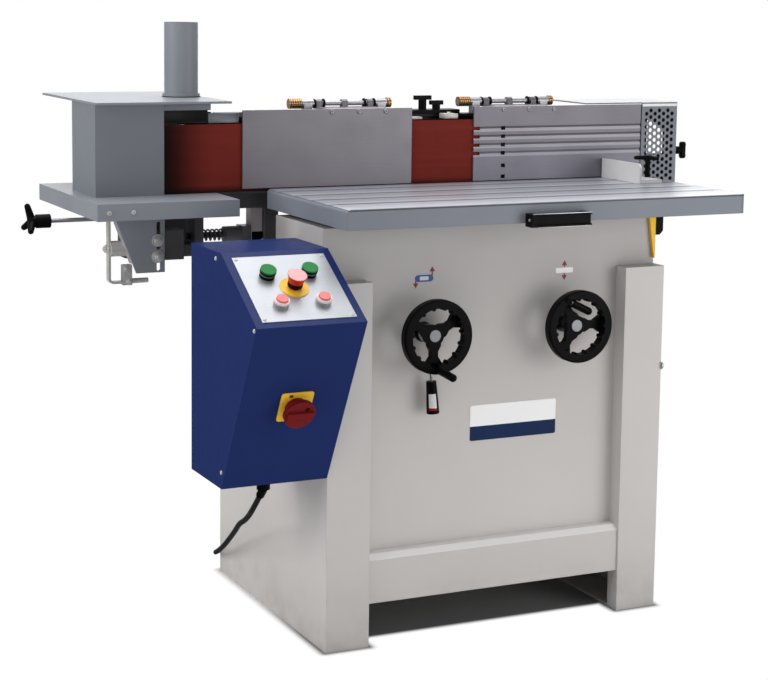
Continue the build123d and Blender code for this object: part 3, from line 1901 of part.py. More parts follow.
spring_steps = int(round(spring_turns * 4))
spring_arcs = []
for i in range(spring_steps):
    p0 = spring_point(i / 4)
    p1 = spring_point((i + 1) / 4)
    t0 = spring_tangent(i / 4)
    t1 = spring_tangent((i + 1) / 4)
    gap = p1 - p0
    both = t0 + t1
    turn_away = 2 * (1 - t0.dot(t1))
    reach = (
        -gap.dot(both) + math.sqrt(gap.dot(both) ** 2 + turn_away * gap.dot(gap))
    ) / turn_away
    joint = (p0 + p1 + (t0 - t1) * reach) * 0.5
    spring_arcs.append((p0, arc_middle(p0, t0, joint), joint))
    spring_arcs.append((joint, arc_middle(p1, t1 * -1, joint), p1))
with BuildPart() as tension_spring:
    with BuildLine() as spring_path:
        for arc_start, arc_mid, arc_end in spring_arcs:
            ThreePointArc(arc_start, arc_mid, arc_end)
    with BuildSketch(Plane(origin=spring_point(0), z_dir=spring_tangent(0))):
        Circle(spring_wire)
    sweep(path=spring_path.wire())
spring_samples = [spring_point(i / 60) for i in range(int(spring_turns * 60) + 1)]
spring_gap = min(
    (spring_samples[i] - spring_samples[j]).length - 2 * spring_wire
    for i in range(len(spring_samples))
    for j in range(i + 30, len(spring_samples))
)
print("spring least gap to itself", round(spring_gap, 2))
tension_spring.part.label = "tension_spring"
export_step(tension_spring.part, "parts/tension_spring.step")

# Tension knob with three swept lobes on its long rod
knob_face = knob_right - knob_hub_length
knob_root = knob_face - knob_lobe_set
knob_lie = Plane(origin=(knob_root, drum_y, tension_rod_z), x_dir=(0, 1, 0), z_dir=(-1, 0, 0))
with BuildPart() as tension_knob:
    rod_x(drum_y, tension_rod_z, knob_right - 1, tension_rod_end, tension_rod_radius)
    rod_x(drum_y, tension_rod_z, knob_face, knob_right, knob_hub_radius)
    rod_x(drum_y, tension_rod_z, knob_root - knob_cap, knob_face, knob_cap_radius)
    star_lobes(
        knob_lie,
        knob_lobe_reach,
        knob_lobe_radius,
        knob_tip_radius,
        knob_lobe_sweep,
        knob_lobe_angle,
    )
tension_knob.part.label = "tension_knob"
export_step(tension_knob.part, "parts/tension_knob.step")


def fence(x0, x1, hinge_x):
    """A fence plate with the tongue and the three blocks that ride on its hinge rod."""
    block(x0, x1, fence_front, fence_back, fence_bottom, fence_top)
    block(
        hinge_x - tongue_half,
        hinge_x + tongue_half,
        fence_front,
        hinge_y + tongue_back,
        fence_top - fence_thickness,
        fence_top,
    )
    for side in (-1, 0, 1):
        block_x = hinge_x + side * hinge_block_offset
        block(
            block_x - hinge_block / 2,
            block_x + hinge_block / 2,
            hinge_y - hinge_block_half,
            hinge_y + tongue_back,
            fence_top - 1,
            hinge_z,
        )
        rod_x(hinge_y, hinge_z, block_x - hinge_block / 2, block_x + hinge_block / 2, hinge_block_half)
    rod_x(
        hinge_y,
        hinge_z,
        hinge_x - tongue_half,
        hinge_x + tongue_half,
        hinge_rod_radius + run,
        Mode.SUBTRACT,
    )


# Left fence, which lifts on its hinge
with BuildPart() as left_fence:
    fence(left_fence_from, left_fence_to, left_hinge_x)
left_fence.part.label = "left_fence"
export_step(left_fence.part, "parts/left_fence.step")

# Right fence, with four grooves along its face and a column of square holes
with BuildPart() as right_fence:
    fence(right_fence_from, right_fence_to, right_hinge_x)
    hole_heights = [hole_low_first, hole_low_second]
    for i in range(fence_slot_count):
        slot_z = fence_slot_first - i * fence_slot_pitch
        hole_heights.append(slot_z)
        block(
            right_fence_from,
            right_fence_to,
            fence_front,
            fence_front + fence_slot_depth,
            slot_z - fence_slot_height / 2,
            slot_z + fence_slot_height / 2,
            Mode.SUBTRACT,
        )
        block(
            right_fence_from,
            right_fence_from + fence_notch,
            fence_front,
            fence_back,
            slot_z - fence_slot_height / 2,
            slot_z + fence_slot_height / 2,
            Mode.SUBTRACT,
        )
    for hole_z in hole_heights:
        block(
            hole_column_x - hole_width / 2,
            hole_column_x + hole_width / 2,
            fence_front,
            fence_back,
            hole_z - hole_height / 2,
            hole_z + hole_height / 2,
            Mode.SUBTRACT,
        )
right_fence.part.label = "right_fence"
export_step(right_fence.part, "parts/right_fence.step")

# Hinge rods and the barrels that carry them
brass_set = barrel_offset + barrel_length / 2
rod_pieces = []
for hinge_x in (left_hinge_x, right_hinge_x):
    with BuildPart() as hinge_bar:
        rod_x(
            hinge_y,
            hinge_z,
            hinge_x - brass_set - brass_long,
            hinge_x + brass_set + brass_short,
            hinge_rod_radius,
        )
    rod_pieces.append(hinge_bar.part.solid())
    for side in (-barrel_offset, barrel_offset):
        with BuildPart() as barrel:
            block(
                hinge_x + side - barrel_foot / 2,
                hinge_x + side + barrel_foot / 2,
                hinge_y - barrel_radius,
                hinge_y + barrel_radius,
                rail_top,
                hinge_z,
            )
            rod_x(
                hinge_y,
                hinge_z,
                hinge_x + side - barrel_length / 2,
                hinge_x + side + barrel_length / 2,
                barrel_radius,
            )
            rod_x(
                hinge_y,
                hinge_z,
                hinge_x + side - barrel_length / 2,
                hinge_x + side + barrel_length / 2,
                hinge_rod_radius + press,
                Mode.SUBTRACT,
            )
        rod_pieces.append(barrel.part.solid())
hinge_rods = Compound(children=rod_pieces)
hinge_rods.label = "hinge_rods"
export_step(hinge_rods, "parts/hinge_rods.step")

# Brass end nuts of the hinge rods
with BuildPart() as brass_nuts:
    for hinge_x in (left_hinge_x, right_hinge_x):
        rod_x(hinge_y, hinge_z, hinge_x - brass_set - brass_long, hinge_x - brass_set, brass_radius)
        rod_x(hinge_y, hinge_z, hinge_x + brass_set, hinge_x + brass_set + brass_short, brass_radius)
        rod_x(
            hinge_y,
            hinge_z,
            hinge_x - brass_set - brass_long,
            hinge_x + brass_set + brass_short,
            hinge_rod_radius + press,
            Mode.SUBTRACT,
        )
brass_nuts.part.label = "brass_nuts"
export_step(brass_nuts.part, "parts/brass_nuts.step")

# Clamp bracket on the rail, with two tee knobs
bracket_top = rail_top + bracket_height
with BuildPart() as clamp_bracket:
    block(bracket_left, bracket_right, bracket_front, bracket_back, rail_top, bracket_top)
    for tee_x, tee_y in ((rear_tee_x, rear_tee_y), (front_tee_x, front_tee_y)):
        rod_z(tee_x, tee_y, bracket_top - tee_sink - 1, bracket_top, tee_stem_radius + run, Mode.SUBTRACT)
clamp_bracket.part.label = "clamp_bracket"
export_step(clamp_bracket.part, "parts/clamp_bracket.step")


def tee_knob(x, y, rise, length):
    """A tee knob on a short stem that sinks into the clamp bracket."""
    rod_z(x, y, bracket_top - tee_sink, bracket_top + rise, tee_stem_radius)
    rod_z(x, y, bracket_top + seat, bracket_top + rise, tee_hub_radius)
    block(
        x - length / 2,
        x + length / 2,
        y - tee_width / 2,
        y + tee_width / 2,
        bracket_top + rise,
        bracket_top + rise + clamp_tee_height,
    )


with BuildPart() as rear_clamp_knob:
    tee_knob(rear_tee_x, rear_tee_y, rear_tee_rise, rear_tee_length)
rear_clamp_knob.part.label = "rear_clamp_knob"
export_step(rear_clamp_knob.part, "parts/rear_clamp_knob.step")

with BuildPart() as front_clamp_knob:
    tee_knob(front_tee_x, front_tee_y, front_tee_rise, front_tee_length)
front_clamp_knob.part.label = "front_clamp_knob"
export_step(front_clamp_knob.part, "parts/front_clamp_knob.step")

# Guard at the right end: a perforated front, a side return and a cover
cover_top = cover_bottom + cover_sheet
mesh_left = (guard_left + guard_right) / 2 - (mesh_columns - 1) * mesh_pitch_x / 2
with BuildPart() as end_guard:
    block(guard_left, guard_right, guard_front, guard_front + guard_sheet, guard_bottom, cover_top)
    block(
        guard_right - guard_sheet,
        guard_right,
        guard_front,
        guard_front + guard_return,
        guard_bottom,
        cover_top,
    )
    with BuildSketch(Plane.XY.offset(cover_bottom)) as cover_face:
        with BuildLine():
            Polyline(
                (cover_left, cover_front),
                (guard_left, cover_front),
                (guard_left, guard_front),
                (guard_right, guard_front),
                (guard_right, cover_back),
                (cover_left, cover_back),
                close=True,
            )
        make_face()
        fillet(
            cover_face.vertices().group_by(Axis.X)[-1].sort_by(Axis.Y)[-1],
            radius=cover_corner,
        )
    extrude(amount=cover_sheet)
    with BuildSketch(Plane.XZ.offset(-guard_front - guard_sheet)):
        for i in range(mesh_columns):
            lift = mesh_pitch_z / 2 if i % 2 else 0
            with Locations(
                *[
                    (mesh_left + i * mesh_pitch_x, mesh_bottom + lift + j * mesh_pitch_z)
                    for j in range(mesh_rows)
                ]
            ):
                Circle(mesh_hole)
    extrude(amount=guard_sheet, mode=Mode.SUBTRACT)
end_guard.part.label = "end_guard"
export_step(end_guard.part, "parts/end_guard.step")

wing_base = guard_right + seat
wing_from = wing_base + wing_hub_length - 2
wing_to = wing_from + wing_depth
lobe_reach = wing_span / 2 - wing_lobe
with BuildPart() as wing_knob:
    rod_x(wing_y, wing_z, wing_base, wing_base + wing_hub_length, wing_hub_radius)
    block(
        wing_from,
        wing_to,
        wing_y - wing_width / 2,
        wing_y + wing_width / 2,
        wing_z - lobe_reach,
        wing_z + lobe_reach,
    )
    for lobe_z in (wing_z - lobe_reach, wing_z + lobe_reach):
        rod_x(wing_y, lobe_z, wing_from, wing_to, wing_lobe)
wing_knob.part.label = "wing_knob"
export_step(wing_knob.part, "parts/wing_knob.step")

# Motor, hung upright behind the stand, with its pulley and vee belt
with BuildPart() as motor:
    rod_z(motor_x, motor_y, motor_bottom, motor_top, motor_radius)
    rod_z(motor_x, motor_y, motor_bottom - motor_cowl, motor_bottom + 1, motor_cowl_radius)
    block(
        motor_x - motor_foot_half,
        motor_x + motor_foot_half,
        motor_y,
        motor_back,
        motor_bottom + motor_foot_margin,
        motor_top - motor_foot_margin,
    )
    block(
        motor_x + motor_radius - 10,
        motor_x + motor_radius + terminal_depth,
        motor_y - terminal_box / 2,
        motor_y + terminal_box / 2,
        motor_top - motor_foot_margin - terminal_height,
        motor_top - motor_foot_margin,
    )
    rod_z(
        motor_x,
        motor_y,
        motor_top - motor_shaft_sink - 2,
        motor_top,
        motor_shaft_radius + run,
        Mode.SUBTRACT,
    )
motor.part.label = "motor"
export_step(motor.part, "parts/motor.step")

with BuildPart() as motor_pulley:
    rod_z(motor_x, motor_y, pulley_bottom, pulley_top, pulley_radius)
    rod_z(motor_x, motor_y, motor_top - motor_shaft_sink, pulley_bottom + 1, motor_shaft_radius)
motor_pulley.part.label = "motor_pulley"
export_step(motor_pulley.part, "parts/motor_pulley.step")

vee_span = math.hypot(motor_x - drive_x, motor_y - drum_y)
vee_bottom = (pulley_bottom + pulley_top - vee_width) / 2
vee_plane = Plane(
    origin=((motor_x + drive_x) / 2, (motor_y + drum_y) / 2, vee_bottom),
    x_dir=(motor_x - drive_x, motor_y - drum_y, 0),
    z_dir=(0, 0, 1),
)
with BuildPart() as vee_belt:
    with BuildSketch(vee_plane):
        SlotCenterToCenter(vee_span, 2 * (pulley_radius + vee_clear + vee_thickness))
        SlotCenterToCenter(vee_span, 2 * (pulley_radius + vee_clear), mode=Mode.SUBTRACT)
    extrude(amount=vee_width)
vee_belt.part.label = "vee_belt"
export_step(vee_belt.part, "parts/vee_belt.step")

# End table: a folded tray, open round the belt, with the slotted gusset that carries it
end_outline = [
    (end_left, end_front),
    (end_right, end_front),
    (end_right, end_slot_front),
    (end_slot_left, end_slot_front),
    (end_slot_left, end_slot_back),
    (end_right, end_slot_back),
    (end_right, end_back),
    (end_left, end_back),
]
gusset_back = gusset_front + gusset_sheet
with BuildPart() as end_table:
    prism_z(end_outline, end_under, end_top)
    block(end_left, end_right, end_front, end_front + end_sheet, end_low, end_top)
    block(end_left, end_right, end_back - end_sheet, end_back, end_low, end_top)
    block(end_left, end_left + end_sheet, end_front, end_back, end_low, end_top)
    block(end_right - end_sheet, end_right, end_front, end_slot_front, end_low, end_top)
    block(end_right - end_sheet, end_right, end_slot_back, end_back, end_low, end_top)
    prism_y(
        [
            (gusset_top_left, end_top - 1),
            (gusset_right, end_top - 1),
            (gusset_right, gusset_bottom),
            (gusset_low_left, gusset_bottom),
        ],
        gusset_front,
        gusset_back,
    )
    for slot_top, slot_end in (
        (gusset_slot_upper + gusset_slot_spare, gusset_slot_upper - end_travel),
        (gusset_slot_lower, gusset_slot_lower - gusset_slot_tail),
    ):
        block(
            gusset_slot_x - gusset_slot_radius,
            gusset_slot_x + gusset_slot_radius,
            gusset_front,
            gusset_back,
            slot_end,
            slot_top,
            Mode.SUBTRACT,
        )
        rod_y(gusset_slot_x, slot_top, gusset_front, gusset_back, gusset_slot_radius, Mode.SUBTRACT)
        rod_y(
            gusset_slot_x,
            slot_end,
            gusset_front,
            gusset_back,
            gusset_slot_radius,
            Mode.SUBTRACT,
        )
end_table.part.label = "end_table"
export_step(end_table.part, "parts/end_table.step")

# Steel strap bent under the tray, with its boss on the gusset, its lug and its rod
strap_right = strap_left + strap_sheet
strap_front = gusset_back + strap_set
strap_back = strap_front + strap_width
strap_mid = strap_front + strap_width / 2
strap_lug_left = strap_left + strap_leg
strap_lug_right = strap_lug_left + strap_lug_width
gusset_lean = (gusset_low_left - gusset_top_left) / (end_top - 1 - gusset_bottom)
boss_edge = gusset_top_left + gusset_lean * (end_top - 1 - strap_boss_z + strap_seat_half)
boss_right = boss_edge + strap_boss_lap
with BuildPart() as end_strap:
    block(strap_left, strap_right, strap_front, strap_back, strap_bottom, strap_top)
    block(strap_left, strap_lug_right, strap_front, strap_back, strap_bottom, strap_bottom + strap_sheet)
    bend_edges = end_strap.edges().filter_by(Axis.Y)
    fillet(
        bend_edges.filter_by(lambda e: abs(e.center().X - strap_left) + abs(e.center().Z - strap_bottom) < 1),
        strap_bend,
    )
    bend_edges = end_strap.edges().filter_by(Axis.Y)
    fillet(
        bend_edges.filter_by(
            lambda e: abs(e.center().X - strap_right) + abs(e.center().Z - strap_bottom - strap_sheet) < 1
        ),
        strap_bend - strap_sheet,
    )
    rod_x(strap_mid, strap_boss_z, strap_right - 1, boss_right, strap_boss_radius)
    block(
        boss_edge + strap_seat_lap,
        boss_right,
        gusset_back,
        strap_mid,
        strap_boss_z - strap_seat_half,
        strap_boss_z + strap_seat_half,
    )
    block(
        strap_lug_left,
        strap_lug_right,
        strap_front,
        strap_back,
        strap_bottom - strap_lug_foot,
        strap_bottom + strap_lug_height,
    )
    rod_x(
        strap_mid,
        strap_bottom + strap_rod_rise,
        strap_lug_right - 1,
        strap_lug_right + strap_rod_length,
        strap_rod_radius,
    )
end_strap.part.label = "end_strap"
export_step(end_strap.part, "parts/end_strap.step")

# Hood round the idler end of the belt
hood_slope = (hood_rear_y - hood_back) / (hood_rear_x - hood_left)
with BuildPart() as hood:
    block(hood_left, hood_right, hood_front, hood_front + hood_sheet, end_top, cover_plate_z)
    block(hood_left, hood_left + hood_sheet, hood_front, hood_back, end_top, cover_plate_z)
    prism_z(
        [
            (hood_left, hood_back),
            (hood_rear_x, hood_rear_y),
            (hood_rear_x, hood_rear_y - hood_sheet),
            (hood_left + hood_sheet, hood_back - hood_sheet),
            (hood_left, hood_back - hood_sheet),
        ],
        end_top,
        cover_plate_z,
    )
    block(hood_rear_x, hood_rear_right, hood_rear_y - hood_sheet, hood_rear_y, end_top, cover_plate_z)
hood.part.label = "hood"
export_step(hood.part, "parts/hood.step")

# Cover plate of the hood with the dust pipe
cover_plate_top = cover_plate_z + cover_plate_thickness
pipe_top = cover_plate_top + pipe_length
pipe_bore = pipe_radius - pipe_wall
with BuildPart() as dust_cover:
    block(
        cover_plate_left,
        cover_plate_right,
        cover_plate_front,
        cover_plate_back,
        cover_plate_z,
        cover_plate_top,
    )
    rod_z(pipe_x, pipe_y, cover_plate_z, pipe_top, pipe_radius)
    rod_z(pipe_x, pipe_y, cover_plate_top, cover_plate_top + pipe_collar_height, pipe_radius + pipe_collar)
    rod_z(pipe_x, pipe_y, cover_plate_z, pipe_top, pipe_bore, Mode.SUBTRACT)
dust_cover.part.label = "dust_cover"
export_step(dust_cover.part, "parts/dust_cover.step")
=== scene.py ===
"""Looks of a floor-standing edge sander, modelled round its packed CAD frame.

Sizes and places of pieces are in millimetres. The cable's length, and lengths in finishes and in the
studio, are in metres.
"""

import logging
import math
from dataclasses import dataclass, field
from enum import Enum
from typing import Any, Callable, Iterable, Protocol, Sequence

import bpy
from mathutils import Matrix, Vector


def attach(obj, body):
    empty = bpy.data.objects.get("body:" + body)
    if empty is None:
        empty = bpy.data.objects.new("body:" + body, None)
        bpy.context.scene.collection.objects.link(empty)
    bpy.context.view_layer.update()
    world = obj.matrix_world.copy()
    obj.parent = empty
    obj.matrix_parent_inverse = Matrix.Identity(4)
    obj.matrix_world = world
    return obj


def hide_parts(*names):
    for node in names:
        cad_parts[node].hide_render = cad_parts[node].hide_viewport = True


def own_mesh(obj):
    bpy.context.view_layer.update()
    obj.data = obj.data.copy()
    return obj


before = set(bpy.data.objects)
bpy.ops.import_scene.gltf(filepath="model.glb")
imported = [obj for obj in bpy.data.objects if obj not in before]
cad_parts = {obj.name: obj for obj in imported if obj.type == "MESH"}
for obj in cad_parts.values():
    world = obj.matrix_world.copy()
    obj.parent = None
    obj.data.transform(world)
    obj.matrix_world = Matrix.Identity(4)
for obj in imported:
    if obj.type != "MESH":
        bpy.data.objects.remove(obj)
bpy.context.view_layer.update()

MM = 0.001
TINY = 1e-6
LOG = logging.getLogger("edge_sander")

Colour = tuple[float, float, float]
Point = tuple[float, float, float]
Flat = tuple[float, float]
Block = tuple[Point, Point, float]
Profile = Sequence[Flat]
Test = Callable[[Vector, Vector], bool]

FRONT: Point = (0.0, -1.0, 0.0)
BACK: Point = (0.0, 1.0, 0.0)
LEFT: Point = (-1.0, 0.0, 0.0)
RIGHT: Point = (1.0, 0.0, 0.0)
UP: Point = (0.0, 0.0, 1.0)
EVEN: Point = (1.0, 1.0, 1.0)
HERE = Matrix.Identity(4)

BLACK: Colour = (0.0, 0.0, 0.0)
WHITE: Colour = (1.0, 1.0, 1.0)


def mm(x: float, y: float, z: float) -> Vector:
    """Turn a place in millimetres into metres.

    Args:
        x: Place along the belt.
        y: Place from the operator to the back.
        z: Height above the floor.

    Returns:
        The place in metres.
    """
    return Vector((x * MM, y * MM, z * MM))


def facing(origin: Vector, out: Point, up: Point = UP) -> Matrix:
    """A place whose Z axis points out of a surface.

    Args:
        origin: The point on the surface, in metres.
        out: Direction out of the surface.
        up: Direction that the place's Y axis leans to.

    Returns:
        The place as a matrix.
    """
    z = Vector(out).normalized()
    x = Vector(up).cross(z)
    x = x.normalized() if x.length > TINY else Vector(RIGHT)
    turn = Matrix((x, z.cross(x), z)).transposed().to_4x4()
    return Matrix.Translation(origin) @ turn


def rounded(width: float, height: float, radius: float, steps: int = 8) -> list[Flat]:
    """Corners of a rounded outline about the origin.

    Args:
        width: Full width.
        height: Full height.
        radius: Corner radius.
        steps: Steps of each corner.

    Returns:
        The corners, anticlockwise.
    """
    corners = []
    for turn, (side, level) in enumerate(((1, 1), (-1, 1), (-1, -1), (1, -1))):
        for step in range(steps + 1):
            angle = math.radians(90 * turn + 90 * step / steps)
            x = side * (width / 2 - radius) + radius * math.cos(angle)
            y = level * (height / 2 - radius) + radius * math.sin(angle)
            corners.append((x, y))
    return corners


def shade(colour: Colour, share: float) -> Colour:
    """A colour made lighter or darker by a share."""
    return tuple(min(1.0, part * share) for part in colour)


class Term:
    """A shader socket on which Python's operators add Math nodes."""

    def __init__(self, nodes: "Nodes", socket: bpy.types.NodeSocket) -> None:
        """Wrap a socket of one node tree."""
        self.nodes = nodes
        self.socket = socket

    def __add__(self, other: Any) -> "Term":
        """Add a value."""
        return self.nodes.math("ADD", self, other)

    __radd__ = __add__

    def __sub__(self, other: Any) -> "Term":
        """Take a value away."""
        return self.nodes.math("SUBTRACT", self, other)

    def __rsub__(self, other: Any) -> "Term":
        """Take this away from a value."""
        return self.nodes.math("SUBTRACT", other, self)

    def __mul__(self, other: Any) -> "Term":
        """Multiply by a value."""
        return self.nodes.math("MULTIPLY", self, other)

    __rmul__ = __mul__

    def __gt__(self, other: Any) -> "Term":
        """One where this is above a value, else zero."""
        return self.nodes.math("GREATER_THAN", self, other)

    def __lt__(self, other: Any) -> "Term":
        """One where this is below a value, else zero."""
        return self.nodes.math("LESS_THAN", self, other)

    def spread(self, low: float, high: float) -> "Term":
        """Stretch a band of this value smoothly over zero to one.

        Args:
            low: Value that becomes zero.
            high: Value that becomes one.

        Returns:
            The stretched value.
        """
        return self.nodes.node(
            "MapRange",
            {"interpolation_type": "SMOOTHSTEP"},
            {"Value": self, "From Min": low, "From Max": high},
        )


class Nodes:
    """A node tree that is built up node by node."""

    def __init__(self, tree: bpy.types.NodeTree) -> None:
        """Start from an empty tree."""
        tree.nodes.clear()
        self.tree = tree

    def feed(self, socket: bpy.types.NodeSocket, value: Any) -> None:
        """Link a term to a socket, or set a plain value on it.

        Args:
            socket: The input to feed.
            value: A term, a number or a colour.
        """
        if isinstance(value, Term):
            self.tree.links.new(value.socket, socket)
        elif isinstance(value, tuple) and len(value) == 3 and socket.type == "RGBA":
            socket.default_value = (*value, 1.0)
        else:
            socket.default_value = value

    def add(
        self,
        kind: str,
        settings: dict[str, Any] | None = None,
        inputs: dict[Any, Any] | None = None,
    ) -> bpy.types.Node:
        """Add a node, set it up and feed it.

        Args:
            kind: Node type without its ShaderNode prefix.
            settings: Properties that are set first.
            inputs: Values or terms by input name or number.

        Returns:
            The node.
        """
        made = self.tree.nodes.new("ShaderNode" + kind)
        for name, value in (settings or {}).items():
            setattr(made, name, value)
        for name, value in (inputs or {}).items():
            self.feed(made.inputs[name], value)
        return made

    def node(
        self,
        kind: str,
        settings: dict[str, Any] | None = None,
        inputs: dict[Any, Any] | None = None,
        output: Any = 0,
    ) -> Term:
        """Add a node and take one of its outputs.

        Args:
            kind: Node type without its ShaderNode prefix.
            settings: Properties that are set first.
            inputs: Values or terms by input name or number.
            output: Name or number of the output.

        Returns:
            The chosen output as a term.
        """
        return Term(self, self.add(kind, settings, inputs).outputs[output])

    def math(self, operation: str, *values: Any) -> Term:
        """The result of one Math node."""
        return self.node("Math", {"operation": operation}, dict(enumerate(values)))


class Shader(Nodes):
    """The node tree of one material."""

    MIX_FIRST = 6
    MIX_SECOND = 7
    MIX_RESULT = 2
    NOISE_ROUGHNESS = 0.55
    BEVEL_SAMPLES = 4

    def __init__(self, name: str) -> None:
        """Start a material with a bare Principled shader.

        Args:
            name: Name of the material.
        """
        self.material = bpy.data.materials.new(name)
        self.material.use_nodes = True
        super().__init__(self.material.node_tree)
        self.surface = self.add("BsdfPrincipled")
        self.lit = Term(self, self.surface.outputs[0])
        self.output = self.add("OutputMaterial", inputs={"Surface": self.lit})

    def place(self, scale: Point = EVEN) -> Term:
        """The object's own coordinates in metres, stretched along each axis.

        Args:
            scale: Stretch along X, Y and Z.

        Returns:
            The stretched coordinates.
        """
        own = self.node("TexCoord", output="Object")
        if scale == EVEN:
            return own
        return self.node("Mapping", {"vector_type": "POINT"}, {"Vector": own, "Scale": scale})

    def axis(self, letter: str) -> Term:
        """One of the object's own coordinates, by its letter."""
        return self.node("SeparateXYZ", inputs={0: self.place()}, output=letter)

    def facing(self, letter: str) -> Term:
        """One part of the surface's outward direction, by its letter."""
        normal = self.node("NewGeometry", output="Normal")
        return self.node("SeparateXYZ", inputs={0: normal}, output=letter)

    def noise(self, scale: float, detail: float = 3.0, stretch: Point = EVEN) -> Term:
        """A cloudy value from zero to one.

        Args:
            scale: Clouds per metre.
            detail: Levels of finer clouds.
            stretch: Stretch of the pattern along each axis.

        Returns:
            The value.
        """
        inputs = {"Vector": self.place(stretch), "Scale": scale, "Detail": detail}
        return self.node("TexNoise", inputs={**inputs, "Roughness": self.NOISE_ROUGHNESS})

    def mix(self, factor: Any, first: Any, second: Any) -> Term:
        """A colour between two others.

        Args:
            factor: Zero for the first colour, one for the second.
            first: A colour or a term.
            second: A colour or a term.

        Returns:
            The mixed colour.
        """
        inputs = {"Factor": factor, self.MIX_FIRST: first, self.MIX_SECOND: second}
        return self.node("Mix", {"data_type": "RGBA"}, inputs, self.MIX_RESULT)

    def vary(self, factor: Any, colour: Colour, low: float, high: float) -> Term:
        """A colour that runs between two shares of itself.

        Args:
            factor: Zero for the low share, one for the high one.
            colour: The colour.
            low: Share at zero.
            high: Share at one.

        Returns:
            The varied colour.
        """
        return self.mix(factor, shade(colour, low), shade(colour, high))

    def bump(self, height: Term, strength: float, depth: float, edge: float = 0.0) -> Term:
        """A normal that follows a height.

        Args:
            height: The height, about zero to one.
            strength: Share of the full effect.
            depth: Depth of the relief in metres.
            edge: Radius of the eased edges in metres.

        Returns:
            The bent normal.
        """
        inputs = {"Height": height, "Strength": strength, "Distance": depth}
        if edge:
            inputs["Normal"] = self.node("Bevel", {"samples": self.BEVEL_SAMPLES}, {"Radius": edge})
        return self.node("Bump", inputs=inputs)

    def dress(self, **inputs: Any) -> bpy.types.Material:
        """Feed the Principled shader's inputs.

        Args:
            inputs: Values or terms by input name, with spaces as underscores.

        Returns:
            The finished material.
        """
        for name, value in inputs.items():
            self.feed(self.surface.inputs[name.replace("_", " ")], value)
        return self.material


class Finish(Protocol):
    """What every finish can do."""

    def material(self, name: str) -> bpy.types.Material:
        """Make the material under a name."""


@dataclass(frozen=True)
class Paint:
    """Sprayed and baked paint on sheet steel: orange peel, soft blotches and floor dust, with an optional
    painted highlight on upward faces and optional painted shade towards the top.
    """

    colour: Colour
    roughness: float = 0.42
    peel: float = 0.06
    blotch: float = 0.05
    blotches: float = 4.0
    flecks: float = 900.0
    dust: float = 0.0
    dust_top: float = 0.16
    dust_colour: Colour = (0.32, 0.29, 0.25)
    edge: float = 0.0015
    shine: float = 0.3
    # Painted highlight on upward faces: its share, the facing where it starts, its band and its colour.
    top_highlight: float = 0.0
    top_highlight_from: float = 0.8
    top_highlight_band: float = 0.18
    top_highlight_colour: Colour = (0.66, 0.66, 0.68)
    # Painted shade: its share and the band of heights over which the colour darkens towards black.
    painted_shade: float = 0.0
    painted_shade_span: Flat = (0.25, 0.85)

    def material(self, name: str) -> bpy.types.Material:
        """Make the material.

        Args:
            name: Name of the material.

        Returns:
            The material.
        """
        sh = Shader(name)
        fleck = sh.noise(self.flecks, 2.0)
        base = sh.vary(sh.noise(self.blotches, 4.0), self.colour, 1 - self.blotch, 1 + self.blotch)
        base = sh.mix((fleck - 0.5) * 0.25 + 0.12, base, shade(self.colour, 0.9))
        if self.dust:
            low = (1 - sh.axis("Z").spread(0.0, self.dust_top)) * sh.noise(14.0, 4.0).spread(0.35, 0.75)
            base = sh.mix(low * self.dust, base, self.dust_colour)
        # Painted highlight: upward faces are mixed towards a pale colour, for light and reflection on top
        # faces.
        if self.top_highlight:
            upward = sh.facing("Z").spread(self.top_highlight_from, self.top_highlight_from + self.top_highlight_band)
            base = sh.mix(upward * self.top_highlight, base, self.top_highlight_colour)
        # Painted shade: the colour darkens towards black higher up, for shadow cast from above.
        if self.painted_shade:
            base = sh.mix(sh.axis("Z").spread(*self.painted_shade_span) * self.painted_shade, base, BLACK)
        return sh.dress(
            Base_Color=base,
            Roughness=sh.noise(60.0, 3.0) * 0.12 + (self.roughness - 0.06),
            Specular_IOR_Level=self.shine,
            Normal=sh.bump(sh.noise(420.0, 2.0), self.peel, 0.0006, self.edge),
        )


@dataclass(frozen=True)
class Moulded:
    """Moulded plastic with a fine stipple and worn shine."""

    colour: Colour
    roughness: float = 0.45
    stipple: float = 0.12
    grain: float = 1400.0
    shine: float = 0.25

    def material(self, name: str) -> bpy.types.Material:
        """Make the material.

        Args:
            name: Name of the material.

        Returns:
            The material.
        """
        sh = Shader(name)
        worn = sh.noise(35.0, 4.0)
        return sh.dress(
            Base_Color=sh.vary(worn, self.colour, 0.92, 1.12),
            Roughness=worn * 0.16 + (self.roughness - 0.08),
            Specular_IOR_Level=self.shine,
            Normal=sh.bump(sh.noise(self.grain, 1.0), self.stipple, 0.0003, 0.001),
        )


class Lay(Enum):
    """Direction of the marks that a tool left on metal, as stretches of a pattern."""

    ALONG_X = (0.012, 1.0, 1.0)
    ALONG_Z = (1.0, 1.0, 0.012)
    CAST = EVEN


